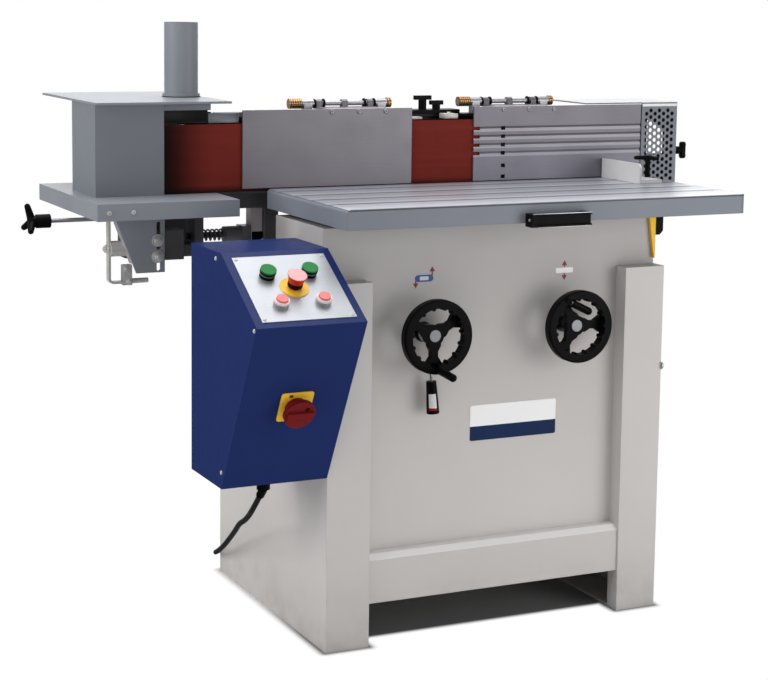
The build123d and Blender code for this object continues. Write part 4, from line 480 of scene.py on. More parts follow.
@dataclass(frozen=True)
class Metal:
    """Bare or plated metal with tool marks in one direction, and an optional painted highlight on its front
    upper edge.
    """

    colour: Colour
    roughness: float = 0.32
    lay: Lay = Lay.ALONG_X
    grain: float = 900.0
    relief: float = 0.08
    metallic: float = 1.0
    stain: float = 0.12
    # Painted highlight on upward faces near the front: its share, how far back it reaches and its colour.
    edge_highlight: float = 0.0
    edge_highlight_y: float = 0.046
    edge_highlight_colour: Colour = (0.95, 0.95, 0.96)

    def material(self, name: str) -> bpy.types.Material:
        """Make the material.

        Args:
            name: Name of the material.

        Returns:
            The material.
        """
        sh = Shader(name)
        marks = sh.noise(self.grain, 3.0, self.lay.value)
        cloud = sh.noise(18.0, 4.0)
        base = sh.vary(marks, self.colour, 0.86, 1.1)
        base = sh.mix(cloud.spread(0.45, 0.8) * self.stain, base, shade(self.colour, 0.55))
        return self.polish(sh, base, marks, cloud)

    def polish(self, sh: Shader, base: Term, marks: Term, cloud: Term) -> bpy.types.Material:
        """Paint a highlight on the front upper edge and feed the shader.

        Args:
            sh: The material's shader.
            base: Colour so far.
            marks: The tool marks.
            cloud: The stains.

        Returns:
            The material.
        """
        # Painted highlight: upward faces near the front are mixed towards near white.
        if self.edge_highlight:
            rim = sh.facing("Z").spread(0.8, 0.98) * (sh.axis("Y") < self.edge_highlight_y)
            base = sh.mix(rim * self.edge_highlight, base, self.edge_highlight_colour)
        return sh.dress(
            Base_Color=base,
            Metallic=self.metallic,
            Roughness=marks * 0.14 + cloud * 0.1 + (self.roughness - 0.1),
            Normal=sh.bump(marks, self.relief, 0.0002, 0.0008),
        )


@dataclass(frozen=True)
class Knurl:
    """Knurled metal round an axis along X, with painted highlight on the diamonds and painted shade in the
    crossing grooves.
    """

    colour: Colour
    axis_y: float
    axis_z: float
    radius: float
    pitch: float

    def material(self, name: str) -> bpy.types.Material:
        """Make the material.

        Args:
            name: Name of the material.

        Returns:
            The material.
        """
        sh = Shader(name)
        along = sh.axis("X")
        across = sh.axis("Y") - self.axis_y
        height = sh.axis("Z") - self.axis_z
        around = sh.math("ARCTAN2", across, height) * self.radius
        turns = 2 * math.pi / self.pitch
        rising = sh.math("SINE", (along + around) * turns)
        falling = sh.math("SINE", (along - around) * turns)
        diamond = (rising * falling).spread(-0.35, 0.45)
        cloud = sh.noise(120.0, 3.0)
        # Painted shade and highlight: the grooves go dark and the diamonds bright.
        base = sh.vary(diamond, self.colour, 0.16, 1.25)
        base = sh.mix(cloud.spread(0.4, 0.75) * 0.5, base, shade(self.colour, 0.45))
        return sh.dress(
            Base_Color=base,
            Metallic=0.85,
            Roughness=cloud * 0.15 + 0.28,
            Normal=sh.bump(diamond, 0.6, 0.0008),
        )


@dataclass(frozen=True)
class GroundTable:
    """A table casting: its top ground bright, its sides painted, with painted glare at the front, painted
    highlight and shade at the grooves and painted shade in the gap under the lip.
    """

    ground: Colour
    painted: Colour
    groove_z: float
    lip_low: float
    lip_high: float
    # Painted reflection towards the front: where it starts and where it is full.
    glare_from: float
    glare_to: float
    groove_y: float
    groove_pitch: float
    groove_count: int
    groove_half: float
    groove_reach: float
    lip_gap_shade_colour: Colour = (0.02, 0.02, 0.024)

    def material(self, name: str) -> bpy.types.Material:
        """Make the material.

        Args:
            name: Name of the material.

        Returns:
            The material.
        """
        sh = Shader(name)
        lines = sh.noise(700.0, 3.0, (0.02, 1.0, 1.0))
        depth, height = sh.axis("Y"), sh.axis("Z")
        glare_colour = shade(self.ground, 1.9)
        top = sh.vary(lines, self.ground, 0.9, 1.08)
        top = sh.mix(sh.noise(6.0, 4.0).spread(0.4, 0.75) * 0.2, top, shade(self.ground, 0.7))
        # Painted reflection: the top is mixed towards a lighter colour towards its front edge, for glare.
        worn = 1 - depth.spread(self.glare_from, self.glare_to)
        top = sh.mix(worn * 0.5, top, glare_colour)
        for row in range(self.groove_count):
            behind = depth - (self.groove_y - row * self.groove_pitch)
            # Painted highlight: a light line just behind each groove.
            bright = behind.spread(0.006, 0.014) * (1 - behind.spread(0.024, 0.046))
            top = sh.mix(bright * 0.3, top, glare_colour)
            # Painted shade on the top on both sides of each groove.
            near = behind.spread(-self.groove_reach, -self.groove_half)
            groove_shade = near * (1 - behind.spread(self.groove_half, self.groove_reach))
            top = sh.mix(groove_shade * 0.5, top, shade(self.ground, 0.3))
        # Painted shade: upward faces below the top, the grooves' floors, go dark.
        top = sh.mix((height < self.groove_z) * 0.9, top, shade(self.painted, 0.3))
        side = sh.vary(sh.noise(9.0, 3.0), self.painted, 0.93, 1.07)
        # Painted shade: a dark line on the front face just under the lip, where the gap there lies in shade.
        joint = (height > self.lip_low) * (height < self.lip_high) * (sh.facing("Y") < -0.5)
        side = sh.mix(joint * 0.8, side, self.lip_gap_shade_colour)
        flat = sh.facing("Z").spread(0.6, 0.95)
        relief = sh.noise(380.0, 2.0) * (1 - flat) * 0.7 + lines * flat * 0.3
        return sh.dress(
            Base_Color=sh.mix(flat, side, top),
            Metallic=flat * 0.6,
            Roughness=flat * (lines * 0.12 - 0.16) + 0.46,
            Normal=sh.bump(relief, 0.12, 0.0004, 0.0015),
        )


@dataclass(frozen=True)
class GroovedFence:
    """Brushed fence plate with painted shade above each groove, a painted highlight below it and a painted
    sheen low down.
    """

    plate: Metal
    first_z: float
    pitch: float
    count: int
    half: float
    face_y: float
    face_depth: float
    sheen: Colour
    sheen_drop: float

    def material(self, name: str) -> bpy.types.Material:
        """Make the material.

        Args:
            name: Name of the material.

        Returns:
            The material.
        """
        sh = Shader(name)
        colour = self.plate.colour
        marks = sh.noise(self.plate.grain, 3.0, self.plate.lay.value)
        cloud = sh.noise(12.0, 4.0)
        base = sh.vary(marks, colour, 0.84, 1.12)
        base = sh.mix(cloud.spread(0.4, 0.8) * 0.3, base, shade(colour, 0.7))
        height = sh.axis("Z")
        front = sh.axis("Y") < self.face_y + self.face_depth
        for row in range(self.count):
            middle = self.first_z - row * self.pitch
            floor, sill, roof = (middle + self.half * share for share in (-1.9, -0.2, 1.05))
            # Painted shade over each groove and a painted highlight under it.
            over = (height > sill) * (height < roof) * front
            under = (height > floor) * (height < sill) * front
            base = sh.mix(over * 0.75, base, shade(colour, 0.22))
            base = sh.mix(under * 0.75, base, shade(colour, 2.1))
        # Painted sheen: the lower plate is mixed towards a bluish reflection.
        low = 1 - height.spread(self.first_z - self.count * self.pitch - self.sheen_drop, self.first_z)
        base = sh.mix(low * 0.3, base, self.sheen)
        return self.plate.polish(sh, base, marks, cloud)


@dataclass(frozen=True)
class BeamPaint:
    """Dark casting with a paler bar low down and a grey band along part of its top."""

    dark: Colour
    grey: Colour
    pale: Colour
    bar_top: float
    bar_from: float = -1.0
    bar_to: float = 1.0
    band_low: float = 2.0
    band_to: float = -1.0

    def material(self, name: str) -> bpy.types.Material:
        """Make the material.

        Args:
            name: Name of the material.

        Returns:
            The material.
        """
        sh = Shader(name)
        across, height = sh.axis("X"), sh.axis("Z")
        bar = (across > self.bar_from) * (across < self.bar_to) * (height < self.bar_top)
        band = (height > self.band_low) * (across < self.band_to)
        cloud = sh.noise(20.0, 4.0)
        dark = sh.vary(cloud, self.dark, 0.7, 1.4)
        grey, pale = (sh.vary(cloud, colour, 0.85, 1.1) for colour in (self.grey, self.pale))
        return sh.dress(
            Base_Color=sh.mix(bar, sh.mix(band, dark, grey), pale),
            Roughness=cloud * 0.15 + 0.38,
            Specular_IOR_Level=0.3,
            Normal=sh.bump(sh.noise(350.0, 2.0), 0.1, 0.0005, 0.0015),
        )


@dataclass(frozen=True)
class Abrasive:
    """Coated abrasive cloth: fine grit, running streaks, a lap joint and trapped dust, with painted shadow of
    the hood at its left end and painted shade along its lower edge.
    """

    grit: Colour
    worn: Colour
    lap_x: float
    lap_square: float
    lap_slant: float
    hood_x: float
    clear_x: float
    low_z: float
    clear_z: float
    hood_shadow_colour: Colour = (0.004, 0.003, 0.003)
    low_edge_shade_colour: Colour = (0.006, 0.004, 0.004)

    def material(self, name: str) -> bpy.types.Material:
        """Make the material.

        Args:
            name: Name of the material.

        Returns:
            The material.
        """
        sh = Shader(name)
        grain = sh.noise(2600.0, 2.0)
        streak = sh.noise(55.0, 4.0, (0.04, 0.04, 1.0))
        along, height = sh.axis("X"), sh.axis("Z")
        base = sh.vary(grain.spread(0.3, 0.7), self.grit, 0.7, 1.25)
        base = sh.mix(streak.spread(0.42, 0.8) * 0.45, base, self.worn)
        base = sh.mix(sh.noise(9.0, 4.0).spread(0.5, 0.85) * 0.25, base, shade(self.grit, 0.6))
        from_lap = along + height * self.lap_slant - self.lap_x
        lap = from_lap * from_lap < self.lap_square
        base = sh.mix(lap * 0.6, base, shade(self.grit, 0.4))
        # Painted shadow: the belt goes nearly black towards the hood that shades it.
        hood_shadow = 1 - along.spread(self.hood_x, self.clear_x)
        base = sh.mix(hood_shadow * 0.93, base, self.hood_shadow_colour)
        # Painted shade: the belt darkens along its lower edge.
        rim = 1 - height.spread(self.low_z, self.clear_z)
        base = sh.mix(rim * 0.85, base, self.low_edge_shade_colour)
        return sh.dress(
            Base_Color=base,
            Roughness=grain * 0.2 + 0.66,
            Specular_IOR_Level=0.12,
            Normal=sh.bump(grain, 0.5, 0.0004),
        )


@dataclass(frozen=True)
class TwoTone:
    """A printed plate in two bands, one over the other."""

    upper: Colour
    lower: Colour
    split_z: float

    def material(self, name: str) -> bpy.types.Material:
        """Make the material.

        Args:
            name: Name of the material.

        Returns:
            The material.
        """
        sh = Shader(name)
        cloud = sh.noise(25.0, 3.0)
        upper = sh.vary(cloud, self.upper, 0.97, 1.0)
        lower = sh.vary(cloud, self.lower, 0.9, 1.1)
        return sh.dress(
            Base_Color=sh.mix(sh.axis("Z") < self.split_z, upper, lower),
            Roughness=cloud * 0.08 + 0.36,
            Specular_IOR_Level=0.08,
            Normal=sh.bump(sh.noise(600.0, 2.0), 0.03, 0.0003),
        )


@dataclass(frozen=True)
class Rubber:
    """Black rubber with a dusty bloom."""

    colour: Colour = (0.016, 0.016, 0.017)
    bloom_colour: Colour = (0.05, 0.048, 0.045)

    def material(self, name: str) -> bpy.types.Material:
        """Make the material.

        Args:
            name: Name of the material.

        Returns:
            The material.
        """
        sh = Shader(name)
        bloom = sh.noise(30.0, 4.0)
        return sh.dress(
            Base_Color=sh.mix(bloom.spread(0.45, 0.8) * 0.4, self.colour, self.bloom_colour),
            Roughness=bloom * 0.15 + 0.52,
            Specular_IOR_Level=0.25,
            Normal=sh.bump(sh.noise(900.0, 2.0), 0.1, 0.0003),
        )


class Finishes:
    """All finishes of the machine, each made once and shared by its pieces."""

    STAND = Paint((0.63, 0.605, 0.59), 0.46, dust=0.3)
    # The stand's paint made a little lighter, with painted shade darkening it towards the top where the
    # table's shadow falls.
    CABINET = Paint((0.665, 0.637, 0.62), 0.46, dust=0.3, painted_shade=0.25)
    # The stand's paint with a painted highlight on its top and bevel faces.
    CROSSBAR = Paint(
        (0.63, 0.605, 0.59), 0.46, dust=0.3, top_highlight=0.9, top_highlight_from=0.5, top_highlight_colour=(0.95, 0.93, 0.92)
    )
    NAVY = Paint((0.0125, 0.0265, 0.125), 0.4, peel=0.04, shine=0.09)
    SLATE = Paint((0.205, 0.222, 0.25), 0.4)
    # The slate paint made lighter: a lit copy for the end table, its cover and the bar at the belt's edge.
    SLATE_LIT = Paint((0.257, 0.274, 0.306), 0.4)
    # Slate paint with a painted reflection on its top faces.
    GUARD = Paint((0.205, 0.222, 0.25), 0.4, top_highlight=0.6)
    WHITE = Paint((0.62, 0.61, 0.61), 0.5)
    BEAM = BeamPaint(
        dark=(0.016, 0.016, 0.018),
        grey=(0.016, 0.016, 0.018),
        pale=(0.085, 0.082, 0.086),
        bar_top=0.96,
    )
    MOTOR = Paint((0.12, 0.125, 0.13), 0.5, peel=0.14)
    CASTING = BeamPaint(
        dark=(0.13, 0.124, 0.128),
        grey=(0.24, 0.245, 0.26),
        pale=(0.62, 0.59, 0.58),
        bar_top=0.9065,
        bar_from=-0.4185,
        bar_to=-0.3895,
        band_low=1.1075,
        band_to=-0.29,
    )
    YELLOW = Moulded((1.0, 0.57, 0.045), 0.4)
    RED = Moulded((0.50, 0.012, 0.012), 0.26, 0.05)
    PALE_RED = Moulded((0.72, 0.17, 0.16), 0.2, 0.04)
    DARK_RED = Moulded((0.17, 0.010, 0.011), 0.25, 0.05)
    # Painted reflection on the top of the emergency stop.
    ESTOP_SHEEN = Moulded((0.86, 0.40, 0.41), 0.3, 0.04)
    BLUSH = Moulded((0.88, 0.70, 0.71), 0.25, 0.03)
    GREEN = Moulded((0.008, 0.19, 0.04), 0.32, 0.05, shine=0.1)
    BLACK = Moulded((0.0035, 0.0035, 0.004), 0.42, shine=0.07)
    PRINT_RED = Paint((0.27, 0.010, 0.025), 0.4, peel=0.02)
    PRINT_BLUE = Paint((0.03, 0.09, 0.32), 0.4, peel=0.02)
    PRINT_PALE = Paint((0.70, 0.70, 0.72), 0.4, peel=0.02)
    PRINT_WHITE = Paint((0.95, 0.95, 0.95), 0.4, peel=0.02)
    PLATE = Metal((0.41, 0.425, 0.455), 0.42, metallic=0.5)
    # The fence plates carry a painted highlight on their front upper edge.
    FENCE = Metal((0.228, 0.215, 0.236), 0.42, metallic=0.6, edge_highlight=0.9)
    GROOVED = GroovedFence(
        plate=Metal((0.188, 0.18, 0.2), 0.42, metallic=0.6, edge_highlight=0.9),
        first_z=1.076,
        pitch=0.0195,
        count=4,
        half=0.004,
        face_y=0.041,
        face_depth=0.003,
        sheen=(0.26, 0.27, 0.35),
        sheen_drop=0.04,
    )
    STEEL = Metal((0.46, 0.46, 0.47), 0.34, Lay.CAST, 300.0)
    DULL = Metal((0.30, 0.30, 0.32), 0.42, Lay.CAST, 300.0)
    ZINC = Metal((0.62, 0.60, 0.575), 0.4, Lay.CAST, 300.0, metallic=0.25, stain=0.5)
    ROD = Metal((0.50, 0.50, 0.52), 0.34, Lay.CAST, 500.0, 0.04, metallic=0.75)
    DARK_STEEL = Metal((0.06, 0.06, 0.063), 0.4, Lay.CAST, 300.0)
    BRIGHT = Metal((0.70, 0.70, 0.71), 0.26, Lay.CAST, 500.0, 0.04)
    CHROME = Metal((0.80, 0.80, 0.81), 0.12, Lay.ALONG_Z, 600.0, 0.02, stain=0.03)
    BRASS = Knurl((0.74, 0.43, 0.19), axis_y=0.1188, axis_z=1.135, radius=0.0115, pitch=0.011)
    SPRING = Metal((0.16, 0.16, 0.165), 0.26, Lay.CAST, 400.0)
    TABLE = GroundTable(
        ground=(0.43, 0.437, 0.49),
        painted=(0.208, 0.226, 0.266),
        groove_z=0.9508,
        lip_low=0.9478,
        lip_high=0.9505,
        glare_from=-0.397,
        glare_to=-0.28,
        groove_y=-0.025,
        groove_pitch=0.092,
        groove_count=4,
        groove_half=0.0035,
        groove_reach=0.012,
    )
    BELT = Abrasive(
        grit=(0.22, 0.026, 0.018),
        worn=(0.27, 0.044, 0.032),
        lap_x=-0.55,
        lap_square=9e-7,
        lap_slant=0.35,
        hood_x=-0.645,
        clear_x=-0.52,
        low_z=0.947,
        clear_z=0.966,
    )
    RUBBER = Rubber()

    def __init__(self) -> None:
        """Start with no material made."""
        self._made: dict[Finish, bpy.types.Material] = {}

    def get(self, finish: Finish) -> bpy.types.Material:
        """The material of a finish, made the first time it is asked for.

        Args:
            finish: One of the finishes.

        Returns:
            Its material.
        """
        if finish not in self._made:
            known = {id(value): name for name, value in vars(Finishes).items()}
            name = known.get(id(finish), f"finish_{len(self._made)}").lower()
            self._made[finish] = finish.material(name)
        return self._made[finish]

    def dress(self, piece: bpy.types.Object, finish: Finish) -> None:
        """Give one piece a finish all over.

        Args:
            piece: A new piece or a CAD node.
            finish: One of the finishes.
        """
        material = self.get(finish)
        if not piece.material_slots:
            piece.data.materials.append(material)
        for slot in piece.material_slots:
            slot.material = material


class Pick(Enum):
    """What an edit works on."""

    FACE = "FACE"
    EDGE = "EDGE"


class Bench:
    """Hand modelling: primitives shaped in edit mode, then laid in place."""

    @staticmethod
    def clear() -> None:
        """Leave edit mode and deselect everything."""
        active = bpy.context.view_layer.objects.active
        if active is not None and active.mode != "OBJECT":
            bpy.ops.object.mode_set(mode="OBJECT")
        bpy.ops.object.select_all(action="DESELECT")

    @classmethod
    def hold(cls, piece: bpy.types.Object) -> None:
        """Select one piece alone and make it active.

        Args:
            piece: The piece.
        """
        cls.clear()
        piece.select_set(True)
        bpy.context.view_layer.objects.active = piece

    @classmethod
    def start(cls, add: Callable[..., Any], name: str, **settings: Any) -> bpy.types.Object:
        """Add one primitive and name it.

        Args:
            add: The operator that adds it.
            name: Name of the piece.
            settings: Settings of the operator, with lengths in metres.

        Returns:
            The new piece.
        """
        cls.clear()
        add(**settings)
        piece = bpy.context.active_object
        piece.name = name
        piece.data.name = name
        return piece

    @classmethod
    def pick(cls, piece: bpy.types.Object, kind: Pick, test: Test) -> None:
        """Enter edit mode with some faces or edges selected.

        Args:
            piece: The piece to edit.
            kind: Faces or edges.
            test: Takes a middle in metres and a direction, and says whether to select.
        """
        cls.hold(piece)
        mesh = piece.data
        bpy.ops.object.mode_set(mode="EDIT")
        bpy.ops.mesh.select_mode(type=kind.value)
        bpy.ops.mesh.select_all(action="DESELECT")
        bpy.ops.object.mode_set(mode="OBJECT")
        if kind is Pick.FACE:
            for face in mesh.polygons:
                face.select = test(face.center, face.normal)
        else:
            for edge in mesh.edges:
                first, last = (mesh.vertices[i].co for i in edge.vertices)
                edge.select = test((first + last) / 2, (last - first).normalized())
        bpy.ops.object.mode_set(mode="EDIT")

    @staticmethod
    def push(x: float, y: float, z: float) -> None:
        """Extrude what is selected by a step along each axis."""
        bpy.ops.mesh.extrude_region_move(TRANSFORM_OT_translate={"value": (x * MM, y * MM, z * MM)})

    @staticmethod
    def close() -> None:
        """Point every face of the edited piece outwards and leave edit mode."""
        bpy.ops.mesh.select_all(action="SELECT")
        bpy.ops.mesh.normals_make_consistent(inside=False)
        bpy.ops.object.mode_set(mode="OBJECT")

    @classmethod
    def round_edges(
        cls,
        piece: bpy.types.Object,
        width: float,
        segments: int = 2,
        test: Test = lambda middle, way: True,
    ) -> None:
        """Bevel the chosen edges of a piece.

        Args:
            piece: The piece to edit.
            width: Width of the bevel.
            segments: Steps of the bevel.
            test: Chooses the edges.
        """
        cls.pick(piece, Pick.EDGE, test)
        bpy.ops.mesh.bevel(offset=width * MM, segments=segments, profile=0.5, affect="EDGES")
        bpy.ops.object.mode_set(mode="OBJECT")

    @classmethod
    def sink(cls, piece: bpy.types.Object, inset: float, step: Point, test: Test) -> None:
        """Inset the chosen faces and push them in.

        Args:
            piece: The piece to edit.
            inset: Width of the rim that is left.
            step: How far they are pushed along each axis.
            test: Chooses the faces.
        """
        cls.pick(piece, Pick.FACE, test)
        bpy.ops.mesh.inset(thickness=inset * MM)
        cls.push(*step)
        bpy.ops.object.mode_set(mode="OBJECT")

    @classmethod
    def settle(cls, piece: bpy.types.Object, matrix: Matrix, angle: float = 32.0) -> bpy.types.Object:
        """Lay a piece in place, apply its place to its mesh and smooth it.

        Args:
            piece: The piece, modelled at the origin.
            matrix: Where it goes.
            angle: Edges sharper than this stay sharp, in degrees.

        Returns:
            The piece.
        """
        cls.hold(piece)
        piece.matrix_world = matrix @ piece.matrix_world
        bpy.ops.object.transform_apply(location=True, rotation=True, scale=True)
        bpy.ops.object.shade_smooth_by_angle(angle=math.radians(angle))
        return piece

    @classmethod
    def box(cls, name: str, low: Point, high: Point, bevel: float) -> bpy.types.Object:
        """A block with eased edges between two corners.

        Args:
            name: Name of the piece.
            low: Lowest corner.
            high: Highest corner.
            bevel: Width of the eased edges.

        Returns:
            The piece.
        """
        bottom, top = mm(*low), mm(*high)
        piece = cls.start(bpy.ops.mesh.primitive_cube_add, name, size=1.0)
        piece.scale = top - bottom
        piece.location = (bottom + top) / 2
        bpy.ops.object.transform_apply(location=True, rotation=True, scale=True)
        cls.round_edges(piece, bevel)
        return cls.settle(piece, HERE)

    @classmethod
    def climb(cls, name: str, profile: Profile, sides: int, filled: bool) -> bpy.types.Object:
        """Extrude a circle up the steps of a profile, and stay in edit mode.

        Args:
            name: Name of the piece.
            profile: Radius and height of each step.
            sides: Sides of the circle.
            filled: Whether the circle starts as a face, not as an edge loop.

        Returns:
            The piece.
        """
        radius, height = profile[0]
        piece = cls.start(
            bpy.ops.mesh.primitive_circle_add,
            name,
            vertices=sides,
            radius=radius * MM,
            fill_type="NGON" if filled else "NOTHING",
            location=(0, 0, height * MM),
        )
        bpy.ops.object.transform_apply(location=True)
        bpy.ops.object.mode_set(mode="EDIT")
        if not filled:
            bpy.ops.mesh.select_mode(type="EDGE")
        bpy.ops.mesh.select_all(action="SELECT")
        for next_radius, next_height in profile[1:]:
            cls.push(0, 0, next_height - height)
            share = next_radius / radius
            bpy.ops.transform.resize(value=(share, share, 1), center_override=(0, 0, next_height * MM))
            radius, height = next_radius, next_height
        return piece

    @classmethod
    def turned(cls, name: str, profile: Profile, matrix: Matrix, sides: int = 32) -> bpy.types.Object:
        """A turned piece: a profile of radius and height spun round its axis.

        Args:
            name: Name of the piece.
            profile: Radius and height of each step, from the bottom up.
            matrix: Where it goes, with its axis along Z.
            sides: Sides of the turning.

        Returns:
            The piece.
        """
        piece = cls.climb(name, profile, sides, True)
        cls.close()
        return cls.settle(piece, matrix)

    @classmethod
    def hoop(cls, name: str, profile: Profile, matrix: Matrix, sides: int = 40) -> bpy.types.Object:
        """A ring: a closed profile of radius and height spun round its axis.

        Args:
            name: Name of the piece.
            profile: Radius and height of each corner in turn.
            matrix: Where it goes, with its axis along Z.
            sides: Sides of the turning.

        Returns:
            The piece.
        """
        piece = cls.climb(name, [*profile, profile[0]], sides, False)
        bpy.ops.mesh.select_all(action="SELECT")
        bpy.ops.mesh.remove_doubles(threshold=TINY)
        cls.close()
        return cls.settle(piece, matrix)

    @classmethod
    def slab(cls, name: str, outline: Profile, depth: float, matrix: Matrix) -> bpy.types.Object:
        """A flat piece with a drawn outline, standing on its plane.

        Args:
            name: Name of the piece.
            outline: Its corners, anticlockwise.
            depth: Thickness along Z.
            matrix: Where it goes.

        Returns:
            The piece.
        """
        corners = len(outline)
        add = bpy.ops.mesh.primitive_circle_add
        piece = cls.start(add, name, vertices=corners, radius=1.0, fill_type="NGON")
        for vertex, (x, y) in zip(piece.data.vertices, outline):
            vertex.co = (x * MM, y * MM, 0.0)
        bpy.ops.object.mode_set(mode="EDIT")
        bpy.ops.mesh.select_all(action="SELECT")
        cls.push(0, 0, depth)
        cls.close()
        return cls.settle(piece, matrix)

    @classmethod
    def copies(
        cls, name: str, pattern: bpy.types.Object, matrices: Iterable[Matrix]
    ) -> bpy.types.Object:
        """Copy a piece to several places, each with its own mesh, and join them.

        Args:
            name: Name of the joined piece.
            pattern: The piece to copy, which is used up.
            matrices: Where each copy goes.

        Returns:
            The joined piece.
        """
        twins = []
        for matrix in matrices:
            twin = pattern.copy()
            twin.data = pattern.data.copy()
            twin.data.transform(matrix)
            bpy.context.scene.collection.objects.link(twin)
            twins.append(twin)
        bpy.data.objects.remove(pattern)
        return cls.join(name, twins)

    @classmethod
    def join(cls, name: str, pieces: Sequence[bpy.types.Object]) -> bpy.types.Object:
        """Join pieces into one.

        Args:
            name: Name of the joined piece.
            pieces: The pieces to join.

        Returns:
            The joined piece.
        """
        cls.clear()
        for piece in pieces:
            piece.select_set(True)
        bpy.context.view_layer.objects.active = pieces[0]
        if len(pieces) > 1:
            bpy.ops.object.join()
        piece = bpy.context.view_layer.objects.active
        piece.name = name
        piece.data.name = name
        return piece


class Head(Enum):
    """Kinds of screw head."""

    DOME = "dome"
    SOCKET = "socket"
    HEX = "hex"


@dataclass(frozen=True)
class Recessed:
    """A turned head with a sunk top. All but its sides are shares of its radius."""

    profile: Profile
    sides: int
    top: float
    rim: float
    depth: float


class Fasteners:
    """Screw heads, modelled once and copied to their places."""

    RECESSED = {
        Head.DOME: Recessed(((1.0, -0.1), (1.0, 0.12), (0.88, 0.38), (0.6, 0.52)), 20, 0.5, 0.22, 0.3),
        Head.SOCKET: Recessed(((1.0, -0.1), (1.0, 0.62), (0.9, 0.75)), 24, 0.7, 0.38, 0.4),
    }
    STACK = (
        ("washer", ((1.45, -0.05), (1.45, 0.16), (1.38, 0.22)), 28),
        ("nut", ((1.0, 0.2), (1.0, 0.82), (0.86, 0.95)), 6),
        ("stud", ((0.5, 0.9), (0.5, 1.2), (0.42, 1.28)), 16),
    )

    @staticmethod
    def scaled(name: str, profile: Profile, radius: float, sides: int) -> bpy.types.Object:
        """Turn a profile, given as shares of a radius, at the origin."""
        return Bench.turned(name, [(out * radius, up * radius) for out, up in profile], HERE, sides)

    @classmethod
    def pattern(cls, kind: Head, radius: float) -> bpy.types.Object:
        """Model one screw head at the origin, pointing up.

        Args:
            kind: The kind of head.
            radius: Its radius.

        Returns:
            The head.
        """
        if kind is Head.HEX:
            stack = [cls.scaled(name, profile, radius, sides) for name, profile, sides in cls.STACK]
            return Bench.join("head", stack)
        shape = cls.RECESSED[kind]
        head = cls.scaled("head", shape.profile, radius, shape.sides)
        top = shape.top * radius * MM
        step = (0.0, 0.0, -shape.depth * radius)
        Bench.sink(head, shape.rim * radius, step, lambda middle, way: middle.z > top and way.z > 0.9)
        return head

    @classmethod
    def set_of(
        cls, name: str, kind: Head, radius: float, places: Iterable[Vector], out: Point
    ) -> bpy.types.Object:
        """A set of equal heads that all point one way.

        Args:
            name: Name of the joined piece.
            kind: The kind of head.
            radius: Its radius.
            places: Where each one sits, in metres.
            out: The way they point.

        Returns:
            The joined piece.
        """
        return Bench.copies(name, cls.pattern(kind, radius), [facing(place, out) for place in places])


@dataclass
class Assembly:
    """A sub-assembly: the finishes of its CAD nodes and the pieces added to it."""

    finishes: Finishes
    nodes: dict[str, Finish] = field(default_factory=dict)

    def add(self, piece: bpy.types.Object, finish: Finish, body: str, slot: str) -> None:
        """Dress a new piece and let it ride on a body.

        Args:
            piece: The piece, laid in place.
            finish: Its finish.
            body: The CAD body that carries it.
            slot: Not used.
        """
        self.finishes.dress(piece, finish)
        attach(piece, body)
        LOG.info("piece %s rides on %s", piece.name, body)

    def fasten(
        self,
        name: str,
        head: tuple[Head, float],
        places: Sequence[Point],
        out: Point,
        finish: Finish,
        body: str,
    ) -> None:
        """Add a set of equal screw heads that all point one way.

        Args:
            name: Name of the joined piece.
            head: The kind of head and its radius.
            places: Where each one sits.
            out: The way they point.
            finish: Their finish.
            body: The CAD body that carries them.
        """
        heads = Fasteners.set_of(name, *head, [mm(*place) for place in places], out)
        self.add(heads, finish, body, "steel")

    def dress(self) -> None:
        """Give the CAD nodes of this sub-assembly their finishes."""
        for name, finish in self.nodes.items():
            self.finishes.dress(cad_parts[name], finish)
            LOG.info("node %s dressed", name)

    def build(self) -> None:
        """Model the pieces that are added to the CAD nodes."""


